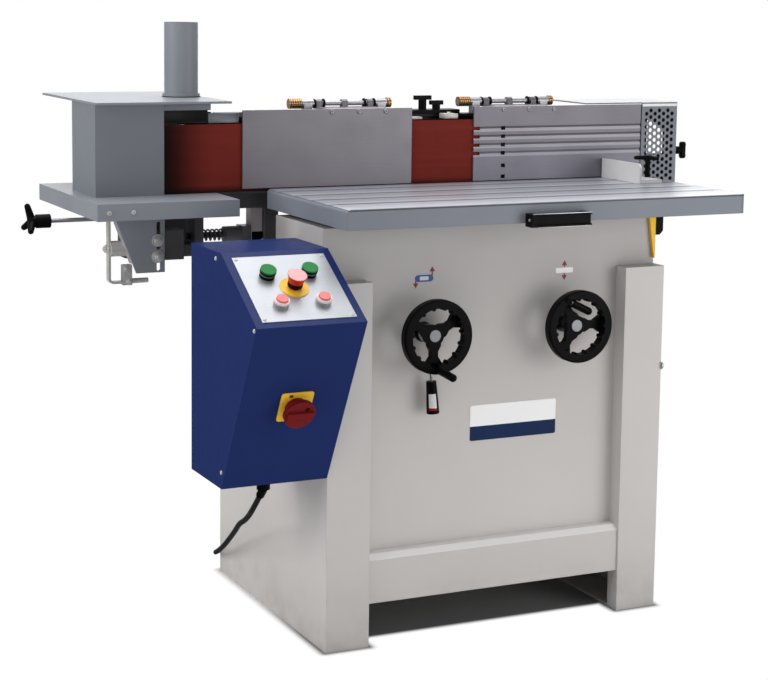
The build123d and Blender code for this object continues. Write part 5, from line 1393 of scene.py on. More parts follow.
@dataclass
class Stand(Assembly):
    """Legs, cabinet and crossbar, with a bare plate and the signs of the two hand wheels."""

    nodes: dict[str, Finish] = field(
        default_factory=lambda: {
            "left_leg": Finishes.STAND,
            "right_leg": Finishes.STAND,
            "crossbar": Finishes.CROSSBAR,
            "cabinet": Finishes.CABINET,
            "rear_panels": Finishes.STAND,
            "pivot_pedestal": Finishes.STEEL,
            "shaft_bushes": Finishes.DARK_STEEL,
            "lock_bracket": Finishes.BLACK,
            "lock_lever": Finishes.YELLOW,
        }
    )
    panel_y: float = -280.0
    plate_low: Flat = (-54.0, 418.0)
    plate_high: Flat = (161.0, 497.0)
    plate_corner: float = 4.0
    plate_depth: float = 0.8
    plate_bevel: float = 0.3
    plate_rim: float = 0.7
    plate_finish: TwoTone = TwoTone(WHITE, (0.012, 0.03, 0.095), 0.450)
    sign_z: float = 784.0
    tilt_sign_x: float = -171.0
    tilt_base: Point = (44.0, 15.0, 7.4)
    tilt_belt: Point = (21.0, 8.4, 1.5)
    lift_sign_x: float = 175.0
    lift_table: Point = (44.0, 12.0, 2.0)
    sign_depth: float = 0.25
    belt_depth: float = 0.2
    arrow_depth: float = 0.3
    arrow_head: float = 11.0
    arrow_half: float = 6.6
    arrow_shaft: float = 1.6
    tilt_arrows: tuple[tuple[float, float, float, int], ...] = (
        (-191.0, 779.0, 16.0, -1),
        (-152.0, 790.0, 19.0, 1),
    )
    lift_arrows: tuple[tuple[float, float, float, int], ...] = (
        (175.0, 777.0, 15.0, -1),
        (175.0, 791.0, 15.0, 1),
    )
    leg_bolt: float = 6.0
    leg_bolts: tuple[Point, ...] = ((410.0, -319.0, 560.0), (410.0, -300.0, 150.0), (410.0, 290.0, 150.0))
    rear_screw: float = 5.0
    rear_y: float = 320.0
    rear_columns: Flat = (-365.0, 365.0)
    rear_rows: tuple[float, ...] = (110.0, 305.0, 500.0, 695.0)

    def on_panel(self, x: float, z: float, out: float = 0.0) -> Matrix:
        """A place on the front panel, or a little out of it."""
        return facing(mm(x, self.panel_y - out, z), FRONT)

    def build(self) -> None:
        """Model the bare plate, the signs, the leg bolts and the screws of the rear panels."""
        (left, low), (right, high) = self.plate_low, self.plate_high
        outline = rounded(right - left, high - low, self.plate_corner)
        place = self.on_panel((left + right) / 2, (low + high) / 2)
        plate = Bench.slab("name_plate", outline, self.plate_depth, place)
        rim_y = (self.panel_y - self.plate_rim) * MM
        Bench.round_edges(plate, self.plate_bevel, test=lambda middle, way: middle.y < rim_y)
        self.add(plate, self.plate_finish, "stand", "panel_silver")
        self.build_signs()
        bolt = (Head.HEX, self.leg_bolt)
        self.fasten("leg_bolts_right", bolt, self.leg_bolts, RIGHT, Finishes.BRIGHT, "stand")
        rear = [(x, self.rear_y, z) for x in self.rear_columns for z in self.rear_rows]
        self.fasten("rear_screws", (Head.DOME, self.rear_screw), rear, BACK, Finishes.ZINC, "stand")

    def build_signs(self) -> None:
        """Model the picture signs over the two hand wheels."""
        place = self.on_panel(self.tilt_sign_x, self.sign_z)
        base = Bench.slab("tilt_sign_base", rounded(*self.tilt_base), self.sign_depth, place)
        self.add(base, Finishes.PRINT_BLUE, "stand", "box_blue")
        place = self.on_panel(self.tilt_sign_x, self.sign_z, self.sign_depth)
        belt = Bench.slab("tilt_sign_belt", rounded(*self.tilt_belt), self.belt_depth, place)
        self.add(belt, Finishes.PRINT_PALE, "stand", "panel_silver")
        self.build_arrows("tilt_sign_arrows", self.tilt_arrows)
        place = self.on_panel(self.lift_sign_x, self.sign_z)
        table = Bench.slab("lift_sign_table", rounded(*self.lift_table), self.sign_depth, place)
        self.add(table, Finishes.PRINT_WHITE, "stand", "panel_silver")
        self.build_arrows("lift_sign_arrows", self.lift_arrows)

    def build_arrows(self, name: str, arrows: Iterable[tuple[float, float, float, int]]) -> None:
        """Model a set of flat arrows on the front panel.

        Args:
            name: Name of the joined piece.
            arrows: Middle along X, height of the tail, length, and 1 for up or -1 for down.
        """
        made = []
        for x, z, length, way in arrows:
            neck = length - self.arrow_head
            half = [(self.arrow_shaft, 0.0), (self.arrow_shaft, neck), (self.arrow_half, neck)]
            outline = [(-self.arrow_shaft, 0.0), *half, (0.0, length)]
            outline += [(-self.arrow_half, neck), (-self.arrow_shaft, neck)]
            corners = [(across, way * up) for across, up in outline][::way]
            made.append(Bench.slab("arrow", corners, self.arrow_depth, self.on_panel(x, z)))
        self.add(Bench.join(name, made), Finishes.PRINT_RED, "stand", "red_plastic")


@dataclass
class Controls(Assembly):
    """The control box at the left with its buttons, main switch and cable."""

    nodes: dict[str, Finish] = field(
        default_factory=lambda: {
            "control_box": Finishes.NAVY,
            "control_plate": Finishes.PLATE,
            "switch_plates": Finishes.YELLOW,
            "cable_glands": Finishes.BLACK,
            "start_button_left": Finishes.GREEN,
            "start_button_right": Finishes.GREEN,
            "stop_button_left": Finishes.PALE_RED,
            "stop_button_right": Finishes.PALE_RED,
            "estop_button": Finishes.RED,
            "main_switch": Finishes.DARK_RED,
        }
    )
    cable_radius: float = 6.0
    cable_length: float = 0.8
    route: tuple[Point, ...] = (
        (-545.0, -283.03, 349.03),
        (-545.0, -233.5, 299.5),
        (-527.0, -150.0, 258.0),
        (-505.0, -60.0, 226.0),
        (-482.0, 30.0, 181.0),
        (-462.0, 115.0, 140.0),
        (-448.0, 190.0, 100.0),
        (-436.0, 262.0, 66.0),
        (-425.0, 320.0, 43.0),
        (-385.0, 360.0, 40.0),
        (-329.0, 360.0, 40.0),
    )
    top_y: float = -313.0
    top_z: float = 864.0
    knee_y: float = -513.0
    knee_z: float = 743.0
    foot_y: float = -319.0
    foot_z: float = 380.0
    middle_x: float = -527.0
    plate_from_edge: float = 17.5
    plate_size: float = 200.0
    plate_thickness: float = 1.5
    plate_screw: float = 3.6
    plate_screw_inset: float = 7.0
    side_screw: float = 4.6
    side_screws: tuple[Point, ...] = (
        (-644.0, -285.0, 850.0),
        (-644.0, -500.0, 737.0),
        (-644.0, -319.0, 415.0),
    )
    ring_ease: float = 0.5
    button_half: float = 45.0
    start_row: float = 80.0
    start_base: float = 12.6
    start_skirt: Point = (12.5, 16.9, 4.2)
    start_collar: Point = (12.4, 15.9, 6.8)
    stop_row: float = 168.0
    stop_base: float = 9.5
    stop_rim: Point = (12.4, 15.9, 5.4)
    estop_row: float = 120.0
    estop_base: float = 8.2
    estop_collar: Point = (11.5, 15.6, 9.5)
    estop_top: float = 34.2
    estop_sheen_cap: Profile = ((19.4, -0.2), (19.4, 0.5), (18.6, 1.1), (12.0, 1.5), (6.0, 1.6))
    padlock_at: Point = (17.0, 190.0, 29.3)
    padlock_hole: Point = (2.2, 4.6, 0.8)
    mark_at: Point = (-11.0, 176.0, 2.0)
    mark_outline: Profile = ((-4.0, -3.0), (4.0, -3.0), (4.0, 3.0), (-4.0, 3.0))
    mark_depth: float = 0.4

    def panel_point(self, x: float, down: float, out: float) -> tuple[Vector, Point]:
        """A point on the sloping button panel.

        Args:
            x: Sideways from the panel's middle.
            down: Down the slope from its top edge.
            out: Out of the panel.

        Returns:
            The point in metres and the direction out of the panel.
        """
        slope = math.atan2(self.top_z - self.knee_z, self.top_y - self.knee_y)
        way = (0.0, -math.sin(slope), math.cos(slope))
        y = self.top_y - down * math.cos(slope) + out * way[1]
        z = self.top_z - down * math.sin(slope) + out * way[2]
        return mm(self.middle_x + x, y, z), way

    def front_point(self, x: float, down: float, out: float) -> tuple[Vector, Point]:
        """A point on the box's lower front, which leans back to the foot.

        Args:
            x: Sideways from the middle.
            down: Down from the knee.
            out: Out of the face.

        Returns:
            The point in metres and the direction out of the face.
        """
        lean = math.atan2(self.foot_y - self.knee_y, self.knee_z - self.foot_z)
        way = (0.0, -math.cos(lean), -math.sin(lean))
        y = self.knee_y + down * math.sin(lean) + out * way[1]
        z = self.knee_z - down * math.cos(lean) + out * way[2]
        return mm(self.middle_x + x, y, z), way

    def build(self) -> None:
        """Model the screws, the trims of the buttons and the main switch, and the cable."""
        reach = self.plate_size / 2 - self.plate_screw_inset
        middle = self.plate_from_edge + self.plate_size / 2
        spots = [(x, middle + down) for x in (-reach, reach) for down in (-reach, reach)]
        places = [self.panel_point(x, down, self.plate_thickness) for x, down in spots]
        points = [point for point, _ in places]
        out = places[0][1]
        screws = Fasteners.set_of("control_plate_screws", Head.DOME, self.plate_screw, points, out)
        self.add(screws, Finishes.ZINC, "stand", "steel")
        side = (Head.DOME, self.side_screw)
        self.fasten("control_box_screws", side, self.side_screws, LEFT, Finishes.ZINC, "stand")
        self.build_buttons()
        self.build_switch()
        self.build_cable()

    def ring(self, name: str, place: Matrix, size: Point) -> bpy.types.Object:
        """A plain ring with an eased edge, standing on a place.

        Args:
            name: Name of the piece.
            place: Where it stands, with its axis along Z.
            size: Inner radius, outer radius and height.

        Returns:
            The ring.
        """
        inner, outer, height = size
        ease = self.ring_ease
        profile = [(inner, 0.0), (outer, 0.0), (outer, height - ease), (outer - ease, height)]
        return Bench.hoop(name, [*profile, (inner, height)], place)

    def build_buttons(self) -> None:
        """Model the trims of the start and stop buttons, the collar of the emergency stop and a pink cap on
        its top that is a painted reflection.
        """
        for side, x in (("left", -self.button_half), ("right", self.button_half)):
            place = facing(*self.panel_point(x, self.start_row, self.start_base))
            skirt = self.ring(f"start_skirt_{side}", place, self.start_skirt)
            self.add(skirt, Finishes.BLACK, f"start_button_{side}", "black_plastic")
            place = facing(*self.panel_point(x, self.start_row, self.plate_thickness))
            collar = self.ring(f"start_collar_{side}", place, self.start_collar)
            self.add(collar, Finishes.BLACK, "stand", "black_plastic")
            place = facing(*self.panel_point(x, self.stop_row, self.stop_base))
            rim = self.ring(f"stop_rim_{side}", place, self.stop_rim)
            self.add(rim, Finishes.BLUSH, "stand", "panel_silver")
        place = facing(*self.panel_point(0.0, self.estop_row, self.estop_base))
        collar = self.ring("estop_collar", place, self.estop_collar)
        self.add(collar, Finishes.BLACK, "estop_button", "black_plastic")
        # A pink cap on the emergency stop's top, a painted reflection of light on the red mushroom.
        place = facing(*self.panel_point(0.0, self.estop_row, self.estop_top))
        cap = Bench.turned("estop_sheen_cap", self.estop_sheen_cap, place, 40)
        self.add(cap, Finishes.ESTOP_SHEEN, "estop_button", "red_plastic")

    def build_switch(self) -> None:
        """Model the padlock hole of the main switch and the mark on its plate."""
        place = facing(*self.front_point(*self.padlock_at))
        eye = self.ring("switch_padlock_hole", place, self.padlock_hole)
        self.add(eye, Finishes.BLACK, "main_switch", "black_plastic")
        place = facing(*self.front_point(*self.mark_at))
        mark = Bench.slab("switch_mark", self.mark_outline, self.mark_depth, place)
        self.add(mark, Finishes.DARK_RED, "stand", "red_plastic")

    def build_cable(self) -> None:
        """Lay the motor cable along its route as one smooth spline."""
        curve = bpy.data.curves.new("motor_lead", "CURVE")
        curve.dimensions = "3D"
        curve.bevel_depth = self.cable_radius * MM
        curve.bevel_resolution = 6
        curve.resolution_u = 24
        curve.use_fill_caps = True
        spline = curve.splines.new("NURBS")
        spline.points.add(len(self.route) - 1)
        for point, place in zip(spline.points, self.route):
            point.co = (*mm(*place), 1.0)
        spline.order_u = 3
        spline.use_endpoint_u = True
        lead = bpy.data.objects.new("motor_lead", curve)
        bpy.context.scene.collection.objects.link(lead)
        self.add(lead, Finishes.RUBBER, "stand", "rubber")
        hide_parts("motor_cable")
        tuple(mm(*self.route[0]))


@dataclass
class HandWheels(Assembly):
    """The two hand wheels, their cranks and screws, and the clamp lever."""

    nodes: dict[str, Finish] = field(
        default_factory=lambda: {
            "tilt_handwheel": Finishes.BLACK,
            "lift_handwheel": Finishes.BLACK,
            "tilt_crank": Finishes.BLACK,
            "lift_crank": Finishes.BLACK,
            "tilt_shaft": Finishes.DULL,
            "lift_shaft": Finishes.DULL,
            "tilt_screw": Finishes.STEEL,
            "lift_screw": Finishes.STEEL,
            "clamp_rod": Finishes.CHROME,
            "clamp_grip": Finishes.BLACK,
        }
    )
    crank_rings: tuple[tuple[str, Point, Point], ...] = (
        ("tilt_crank", (-172.0, -353.8, 600.0), (0.0875, -0.9877, -0.1297)),
        ("lift_crank", (140.5, -353.8, 728.76), (0.8988, 0.0, -0.4384)),
    )
    ring_from_pivot: float = 10.8
    ring_up: Point = (0.0, 1.0, 0.3)
    ring_profile: Profile = ((5.2, 0.0), (5.5, 0.6), (5.5, 2.4), (5.2, 3.0), (4.7, 3.0))
    clamp_root: Point = (-172.0, -307.0, 669.0)
    clamp_lean: float = 4.5
    grip_top: float = 104.0
    grip_length: float = 70.0
    grip_narrow: float = 11.0
    grip_wide: float = 14.0
    label_span: Flat = (26.0, 62.0)
    label_gap: float = 0.15
    label_depth: float = 0.25
    label_way: Flat = (0.42, -0.91)
    label_cut: float = 0.8
    label_band: float = 0.36
    label_upper: Colour = (0.74, 0.74, 0.74)
    label_lower: Colour = (0.30, 0.015, 0.015)

    def build(self) -> None:
        """Model the bright rings at the roots of the cranks and the label on the clamp lever's grip."""
        for crank, pivot, reach in self.crank_rings:
            root = mm(*pivot) + Vector(reach) * (self.ring_from_pivot * MM)
            place = facing(root, reach, self.ring_up)
            ring = Bench.turned(f"{crank}_ring", self.ring_profile, place, 28)
            self.add(ring, Finishes.BRIGHT, crank, "chrome")
        self.build_label()

    def build_label(self) -> None:
        """Model the label, a strip of a cone round the front of the grip."""
        start, end = self.label_span
        label = Bench.start(
            bpy.ops.mesh.primitive_cone_add,
            "clamp_label",
            vertices=48,
            radius1=(self.radius_at(start) + self.label_gap) * MM,
            radius2=(self.radius_at(end) + self.label_gap) * MM,
            depth=(end - start) * MM,
            end_fill_type="NOTHING",
        )
        right, back = self.label_way
        Bench.pick(label, Pick.FACE, lambda middle, way: way.y * back + way.x * right < self.label_cut)
        bpy.ops.mesh.delete(type="FACE")
        bpy.ops.object.mode_set(mode="OBJECT")
        Bench.hold(label)
        thick = label.modifiers.new("thickness", "SOLIDIFY")
        thick.thickness = self.label_depth * MM
        thick.offset = 1.0
        bpy.ops.object.modifier_apply(modifier=thick.name)
        lean = math.radians(self.clamp_lean)
        down = Vector((math.sin(lean), 0.0, -math.cos(lean)))
        across = Vector(BACK)
        turn = Matrix((across.cross(down).normalized(), across, down)).transposed().to_4x4()
        middle = mm(*self.clamp_root) + down * ((self.grip_top + (start + end) / 2) * MM)
        Bench.settle(label, Matrix.Translation(middle) @ turn)
        split = middle.z - self.label_band * (end - start) * MM
        finish = TwoTone(self.label_upper, self.label_lower, split)
        self.add(label, finish, "clamp_lever", "stop_white")

    def radius_at(self, along: float) -> float:
        """Radius of the grip at a distance from its top."""
        return self.grip_narrow + (self.grip_wide - self.grip_narrow) * along / self.grip_length


@dataclass
class WorkTable(Assembly):
    """The rising table with its grip and end stop."""

    nodes: dict[str, Finish] = field(
        default_factory=lambda: {
            "table_top": Finishes.TABLE,
            "table_columns": Finishes.BRIGHT,
            "table_handle": Finishes.BLACK,
            "end_stop": Finishes.WHITE,
            "stop_knob": Finishes.BLACK,
        }
    )
    grip_screw: float = 3.2
    grip_screw_at: Point = (6.0, -417.0, 917.0)
    grip_trim: tuple[Block, ...] = (
        ((9.0, -427.5, 929.4), (153.0, -424.5, 930.9), 0.4),
        ((20.0, -427.5, 901.2), (153.0, -425.0, 902.4), 0.4),
        ((137.0, -427.0, 902.2), (154.0, -419.0, 905.6), 0.8),
    )
    washer_at: Point = (512.0, -85.0, 961.3)
    washer_profile: Profile = ((6.2, 0.0), (10.2, 0.0), (10.2, 1.1), (9.8, 1.5), (6.2, 1.5))

    def build(self) -> None:
        """Model the screw and the bright trim of the grip, and the washer of the end stop."""
        screw = (Head.DOME, self.grip_screw)
        self.fasten("table_grip_screw", screw, [self.grip_screw_at], LEFT, Finishes.BRIGHT, "table")
        trims = [Bench.box("trim", *block) for block in self.grip_trim]
        self.add(Bench.join("table_grip_trim", trims), Finishes.BRIGHT, "table", "steel")
        washer = Bench.hoop("stop_washer", self.washer_profile, facing(mm(*self.washer_at), UP))
        self.add(washer, Finishes.BRIGHT, "end_stop", "steel")


@dataclass
class BeltUnit(Assembly):
    """The tilting belt unit with its drums, drive and guard."""

    nodes: dict[str, Finish] = field(
        default_factory=lambda: {
            "belt_beam": Finishes.BEAM,
            "beam_fittings": Finishes.CASTING,
            "platen": Finishes.STEEL,
            "sanding_belt": Finishes.BELT,
            "end_guard": Finishes.GUARD,
            "wing_knob": Finishes.BLACK,
            "motor": Finishes.MOTOR,
            "motor_pulley": Finishes.STEEL,
            "vee_belt": Finishes.RUBBER,
            "drive_drum": Finishes.STEEL,
            "idler_drum": Finishes.STEEL,
            "idler_carriage": Finishes.BEAM,
            "tension_spring": Finishes.SPRING,
            "tension_knob": Finishes.BLACK,
            "clamp_bracket": Finishes.BLACK,
            "rear_clamp_knob": Finishes.BLACK,
            "front_clamp_knob": Finishes.BLACK,
        }
    )
    edge_bar: Block = ((-536.0, 58.0, 1098.6), (-464.5, 62.0, 1121.0), 0.8)
    edge_rim: float = 3.0
    edge_sink: Point = (0.0, 0.6, 0.0)
    clips: tuple[Block, ...] = (
        ((-40.0, 66.0, 1098.3), (-9.0, 96.0, 1103.5), 1.2),
        ((49.0, 66.0, 1098.3), (84.0, 96.0, 1110.0), 1.2),
    )
    clip_screw: float = 4.5
    clip_screw_at: Point = (66.0, 80.0, 1110.0)
    sleeve_at: Point = (-875.5, 118.8, 890.0)
    sleeve_profile: Profile = ((4.05, 0.0), (4.7, 0.0), (4.7, 140.0), (4.05, 140.0))
    guide_at: Point = (-417.5, 118.8, 841.0)
    guide_profile: Profile = ((15.0, 0.0), (17.0, 1.5), (17.0, 26.5), (15.0, 28.0))
    spring_y: float = 118.8
    spring_z: float = 844.0
    spring_left: float = -529.4
    spring_right: float = -478.6
    spring_coil: float = 11.6
    spring_wire: float = 2.2
    spring_turns: float = 4.5
    spring_steps: int = 126
    wire_sides: int = 14
    tension_travel: float = 12.0
    motor_axis: Flat = (300.0, 420.0)
    fin: Block = ((74.0, -1.4, 655.0), (81.5, 1.4, 835.0), 0.9)
    fin_first: float = 158.0
    fin_step: float = 7.0
    fin_count: int = 24
    liner_y: float = 46.6
    liner_depth: float = 1.2
    liner_low: Flat = (568.5, 934.0)
    liner_high: Flat = (673.0, 1126.0)
    liner_split: Flat = (615.8, 616.2)
    window_x: tuple[float, float, float] = (592.0, 602.0, 640.0)
    window_z: tuple[float, float, float, float] = (1006.0, 1063.0, 1079.0, 1088.0)
    lip: Block = ((575.5, 41.3, 1121.0), (674.5, 42.0, 1127.5), 0.3)
    wing_at: Point = (676.3, 70.0, 1010.0)
    wing_hub: float = 32.0
    hub_profile: Profile = ((9.0, 0.0), (9.6, 0.8), (9.6, 26.0), (8.2, 32.0))
    wing_depth: float = 11.7
    wing_bevel: float = 1.6
    wing_lobe: float = 7.9
    wing_reach: float = 13.0
    lobe_first: int = -30
    lobe_step: int = 20
    lobe_points: int = 13

    def build(self) -> None:
        """Model the bar and clips at the belt's upper edge, the rod's sleeve, the spring, motor and guard."""
        bar = Bench.box("belt_edge_bar", *self.edge_bar)
        Bench.sink(bar, self.edge_rim, self.edge_sink, lambda middle, way: way.y < -0.9)
        self.add(bar, Finishes.SLATE_LIT, "belt_unit", "fence_grey")
        clips = [Bench.box("clip", *block) for block in self.clips]
        screw_at = [mm(*self.clip_screw_at)]
        clips.append(Fasteners.set_of("clip_screw", Head.SOCKET, self.clip_screw, screw_at, UP))
        self.add(Bench.join("belt_clips", clips), Finishes.ZINC, "belt_unit", "steel")
        place = facing(mm(*self.sleeve_at), RIGHT)
        sleeve = Bench.hoop("tension_rod_sleeve", self.sleeve_profile, place, 24)
        self.add(sleeve, Finishes.ROD, "tension_knob", "steel")
        guide = Bench.turned("spring_guide", self.guide_profile, facing(mm(*self.guide_at), RIGHT), 36)
        self.add(guide, Finishes.BLACK, "belt_unit", "beam_dark")
        self.build_spring()
        self.build_motor()
        self.build_guard()

    def build_spring(self) -> None:
        """Coil the tension spring."""
        wire = Bench.start(
            bpy.ops.mesh.primitive_circle_add,
            "coil_spring",
            vertices=self.wire_sides,
            radius=self.spring_wire * MM,
            fill_type="NOTHING",
            location=(self.spring_coil * MM, 0.0, 0.0),
            rotation=(math.pi / 2, 0.0, 0.0),
        )
        bpy.ops.object.transform_apply(location=True, rotation=True, scale=True)
        whole = self.spring_right - self.spring_left
        coil = wire.modifiers.new("coil", "SCREW")
        coil.axis = "Z"
        coil.angle = 2 * math.pi * self.spring_turns
        coil.screw_offset = (whole - 2 * self.spring_wire) * MM
        coil.steps = coil.render_steps = self.spring_steps
        coil.use_merge_vertices = False
        bpy.ops.object.modifier_apply(modifier=coil.name)
        bpy.ops.object.mode_set(mode="EDIT")
        bpy.ops.mesh.select_all(action="SELECT")
        bpy.ops.mesh.fill_holes(sides=self.wire_sides + 2)
        Bench.close()
        start = mm(self.spring_left + self.spring_wire, self.spring_y, self.spring_z)
        Bench.settle(wire, facing(start, RIGHT))
        self.add(wire, Finishes.SPRING, "belt_unit", "spring_steel")
        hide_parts("tension_spring")
        tuple(mm(self.spring_right, self.spring_y, self.spring_z))
        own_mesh(wire)

    def build_motor(self) -> None:
        """Model the cooling fins of the motor's shell."""
        fin = Bench.box("fin", *self.fin)
        shell = Matrix.Translation(mm(*self.motor_axis, 0.0))
        turns = [math.radians(self.fin_first + self.fin_step * number) for number in range(self.fin_count)]
        places = [shell @ Matrix.Rotation(turn, 4, "Z") for turn in turns]
        self.add(Bench.copies("motor_fins", fin, places), Finishes.MOTOR, "belt_unit", "motor_grey")

    def build_guard(self) -> None:
        """Model a dark sheet behind the guard's mesh, open in the middle, for its dark frame and painted
        shade, and a painted highlight on the lip.
        """
        (left, low), (right, high) = self.liner_low, self.liner_high
        near, far = self.liner_split
        in_left, in_top, in_right = self.window_x
        sill, shoulder, middle, head = self.window_z
        halves = (
            [(left, low), (near, low), (near, sill), (in_left, sill), (in_left, head), (in_top, head)]
            + [(near, middle), (near, high), (left, high)],
            [(far, low), (right, low), (right, high), (far, high), (far, middle), (in_right, shoulder)]
            + [(in_right, sill), (far, sill)],
        )
        # A dark sheet behind the mesh: it stands for the dark frame behind the guard and, as painted shade,
        # for its shaded inside.
        place = facing(mm(0, self.liner_y, 0), FRONT)
        plates = [Bench.slab("liner_half", outline, self.liner_depth, place) for outline in halves]
        self.add(Bench.join("guard_dark_sheet", plates), Finishes.BLACK, "belt_unit", "black_plastic")
        # Painted highlight: a pale strip on the guard's upper lip, for the light it catches.
        self.add(Bench.box("guard_lip_highlight", *self.lip), Finishes.PRINT_WHITE, "belt_unit", "panel_silver")
        self.build_wing()

    def build_wing(self) -> None:
        """Model the guard's knob, a waisted wing on a round hub."""
        x, y, z = self.wing_at
        hub = Bench.turned("wing_hub", self.hub_profile, facing(mm(x, y, z), RIGHT))
        outline = []
        for middle, first in ((self.wing_reach, self.lobe_first), (-self.wing_reach, self.lobe_first + 180)):
            for number in range(self.lobe_points):
                angle = math.radians(first + self.lobe_step * number)
                up = middle + self.wing_lobe * math.sin(angle)
                outline.append((self.wing_lobe * math.cos(angle), up))
        place = facing(mm(x + self.wing_hub, y, z), RIGHT)
        wing = Bench.slab("wing_plate", outline, self.wing_depth, place)
        Bench.round_edges(wing, self.wing_bevel, 3, lambda middle, way: abs(way.x) < 0.5)
        knob = Bench.join("wing_grip", [hub, wing])
        self.add(knob, Finishes.BLACK, "wing_knob", "black_plastic")
        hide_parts("wing_knob")


@dataclass
class Fences(Assembly):
    """The hinged fences with their hinge rods and brass nuts."""

    nodes: dict[str, Finish] = field(
        default_factory=lambda: {
            "left_fence": Finishes.FENCE,
            "right_fence": Finishes.GROOVED,
            "hinge_rods": Finishes.ROD,
            "brass_nuts": Finishes.BRASS,
        }
    )
    screw: float = 5.6
    left_screws: tuple[Point, ...] = ((-248.0, 41.0, 1120.0), (-181.0, 41.0, 1120.0), (-115.0, 41.0, 1120.0))
    right_screws: tuple[Point, ...] = ((191.0, 41.0, 1119.0), (260.0, 41.0, 1119.0), (327.0, 41.0, 1119.0))
    hole_shade: Block = ((183.0, 45.3, 956.0), (201.0, 46.5, 1083.0), 0.4)
    hinge_y: float = 118.8
    hinge_z: float = 1135.0
    hinges: Flat = (-185.0, 246.0)
    collars: tuple[float, ...] = (-76.8, 73.3, -53.0, 49.0)
    collar_profile: Profile = ((10.2, 0.0), (10.6, 0.5), (10.6, 3.0), (10.2, 3.5), (5.7, 3.5))

    def build(self) -> None:
        """Model the fences' screws, a dark sheet behind the holes that is painted shade, and the black
        collars of the rods.
        """
        screw = (Head.DOME, self.screw)
        self.fasten("left_fence_screws", screw, self.left_screws, FRONT, Finishes.STEEL, "left_fence")
        self.fasten("right_fence_screws", screw, self.right_screws, FRONT, Finishes.STEEL, "belt_unit")
        # Painted shade: a black sheet behind the fence's holes, where they lie in shade.
        hole_shade = Bench.box("fence_hole_shade", *self.hole_shade)
        self.add(hole_shade, Finishes.BLACK, "belt_unit", "black_plastic")
        collar = Bench.turned("collar", self.collar_profile, HERE)
        along = [hinge + offset for hinge in self.hinges for offset in self.collars]
        places = [facing(mm(x, self.hinge_y, self.hinge_z), RIGHT) for x in along]
        collars = Bench.copies("hinge_collars", collar, places)
        self.add(collars, Finishes.BLACK, "belt_unit", "black_plastic")


@dataclass
class EndTable(Assembly):
    """The end table at the left with its hood, cover plate and dust pipe."""

    nodes: dict[str, Finish] = field(
        default_factory=lambda: {
            "end_table": Finishes.SLATE_LIT,
            "end_strap": Finishes.ZINC,
            "hood": Finishes.SLATE,
            "dust_cover": Finishes.SLATE_LIT,
        }
    )
    tray_screw: float = 5.0
    tray_screws: tuple[Point, ...] = ((-811.0, -105.0, 928.0), (-759.0, -105.0, 928.0))
    gusset_bolt: float = 9.5
    gusset_bolts: tuple[Point, ...] = ((-662.0, 30.0, 849.0), (-662.0, 30.0, 813.5))
    # A painted highlight strip along the gusset's slanted edge.
    highlight_strip_low: Point = (-718.05, 36.0, 800.0)
    highlight_strip_high: Point = (-759.82, 36.0, 909.0)
    highlight_strip_out: Point = (-0.9338, 0.0, -0.3579)
    highlight_strip_width: float = 18.0
    highlight_strip_depth: float = 1.5
    highlight_strip_bevel: float = 0.5
    boss_bolt: float = 8.0
    boss_bolt_at: Point = (-767.5, 54.0, 832.0)
    lug_bolt: float = 5.5
    lug_bolts: tuple[Point, ...] = ((-729.0, 45.0, 788.0), (-721.0, 45.0, 760.0))
    cover_tray: Block = ((-648.5, 27.5, 1129.5), (-541.0, 62.0, 1143.9), 1.2)
    tray_rim: float = 2.5
    tray_sink: Point = (0.0, 0.0, 9.0)
    flap: Block = ((-647.0, 56.5, 1099.5), (-538.0, 59.5, 1137.0), 1.0)
    flap_rim: float = 4.0
    flap_sink: Point = (0.0, 0.6, 0.0)
    seal_at: Point = (-547.0, 207.0, 1149.0)
    seal_profile: Profile = ((41.0, 0.0), (43.2, 0.0), (43.2, 1.4), (42.6, 2.0), (41.0, 2.0))

    def build(self) -> None:
        """Model the screws and bolts of tray, gusset and strap, a pale strip on the gusset's edge that is a
        painted highlight, and the hood's details.
        """
        zinc = Finishes.ZINC
        screw = (Head.DOME, self.tray_screw)
        self.fasten("end_table_screws", screw, self.tray_screws, FRONT, zinc, "end_table")
        self.fasten("gusset_bolts", (Head.HEX, self.gusset_bolt), self.gusset_bolts, FRONT, zinc, "belt_unit")
        # Painted highlight: a pale strip along the gusset's slanted edge, for the light on that edge.
        rise = Vector(self.highlight_strip_high) - Vector(self.highlight_strip_low)
        far, length = -self.highlight_strip_width, rise.length
        outline = [(far, 0.0), (0.0, 0.0), (0.0, length), (far, length)]
        place = facing(mm(*self.highlight_strip_low), self.highlight_strip_out, rise)
        highlight_strip = Bench.slab("gusset_edge_highlight", outline, self.highlight_strip_depth, place)
        Bench.round_edges(highlight_strip, self.highlight_strip_bevel)
        self.add(highlight_strip, zinc, "end_table", "end_grey")
        boss = (Head.HEX, self.boss_bolt)
        self.fasten("strap_boss_bolt", boss, [self.boss_bolt_at], LEFT, zinc, "end_table")
        self.fasten("strap_lug_bolts", (Head.HEX, self.lug_bolt), self.lug_bolts, FRONT, zinc, "end_table")
        self.build_hood()

    def build_hood(self) -> None:
        """Model the shallow tray under the cover plate, a dark flap under it that is painted shade, and the
        pipe's seal.
        """
        tray = Bench.box("cover_tray", *self.cover_tray)
        Bench.sink(tray, self.tray_rim, self.tray_sink, lambda middle, way: way.z < -0.9)
        self.add(tray, Finishes.SLATE, "end_table", "end_grey")
        # Painted shade: a dark flap that closes the gap above the belt, where the hood's inside lies in
        # shade.
        flap = Bench.box("hood_shade_flap", *self.flap)
        Bench.sink(flap, self.flap_rim, self.flap_sink, lambda middle, way: way.y < -0.9)
        self.add(flap, Finishes.RUBBER, "end_table", "rubber")
        seal = Bench.hoop("pipe_seal", self.seal_profile, facing(mm(*self.seal_at), UP), 64)
        self.add(seal, Finishes.RUBBER, "end_table", "rubber")


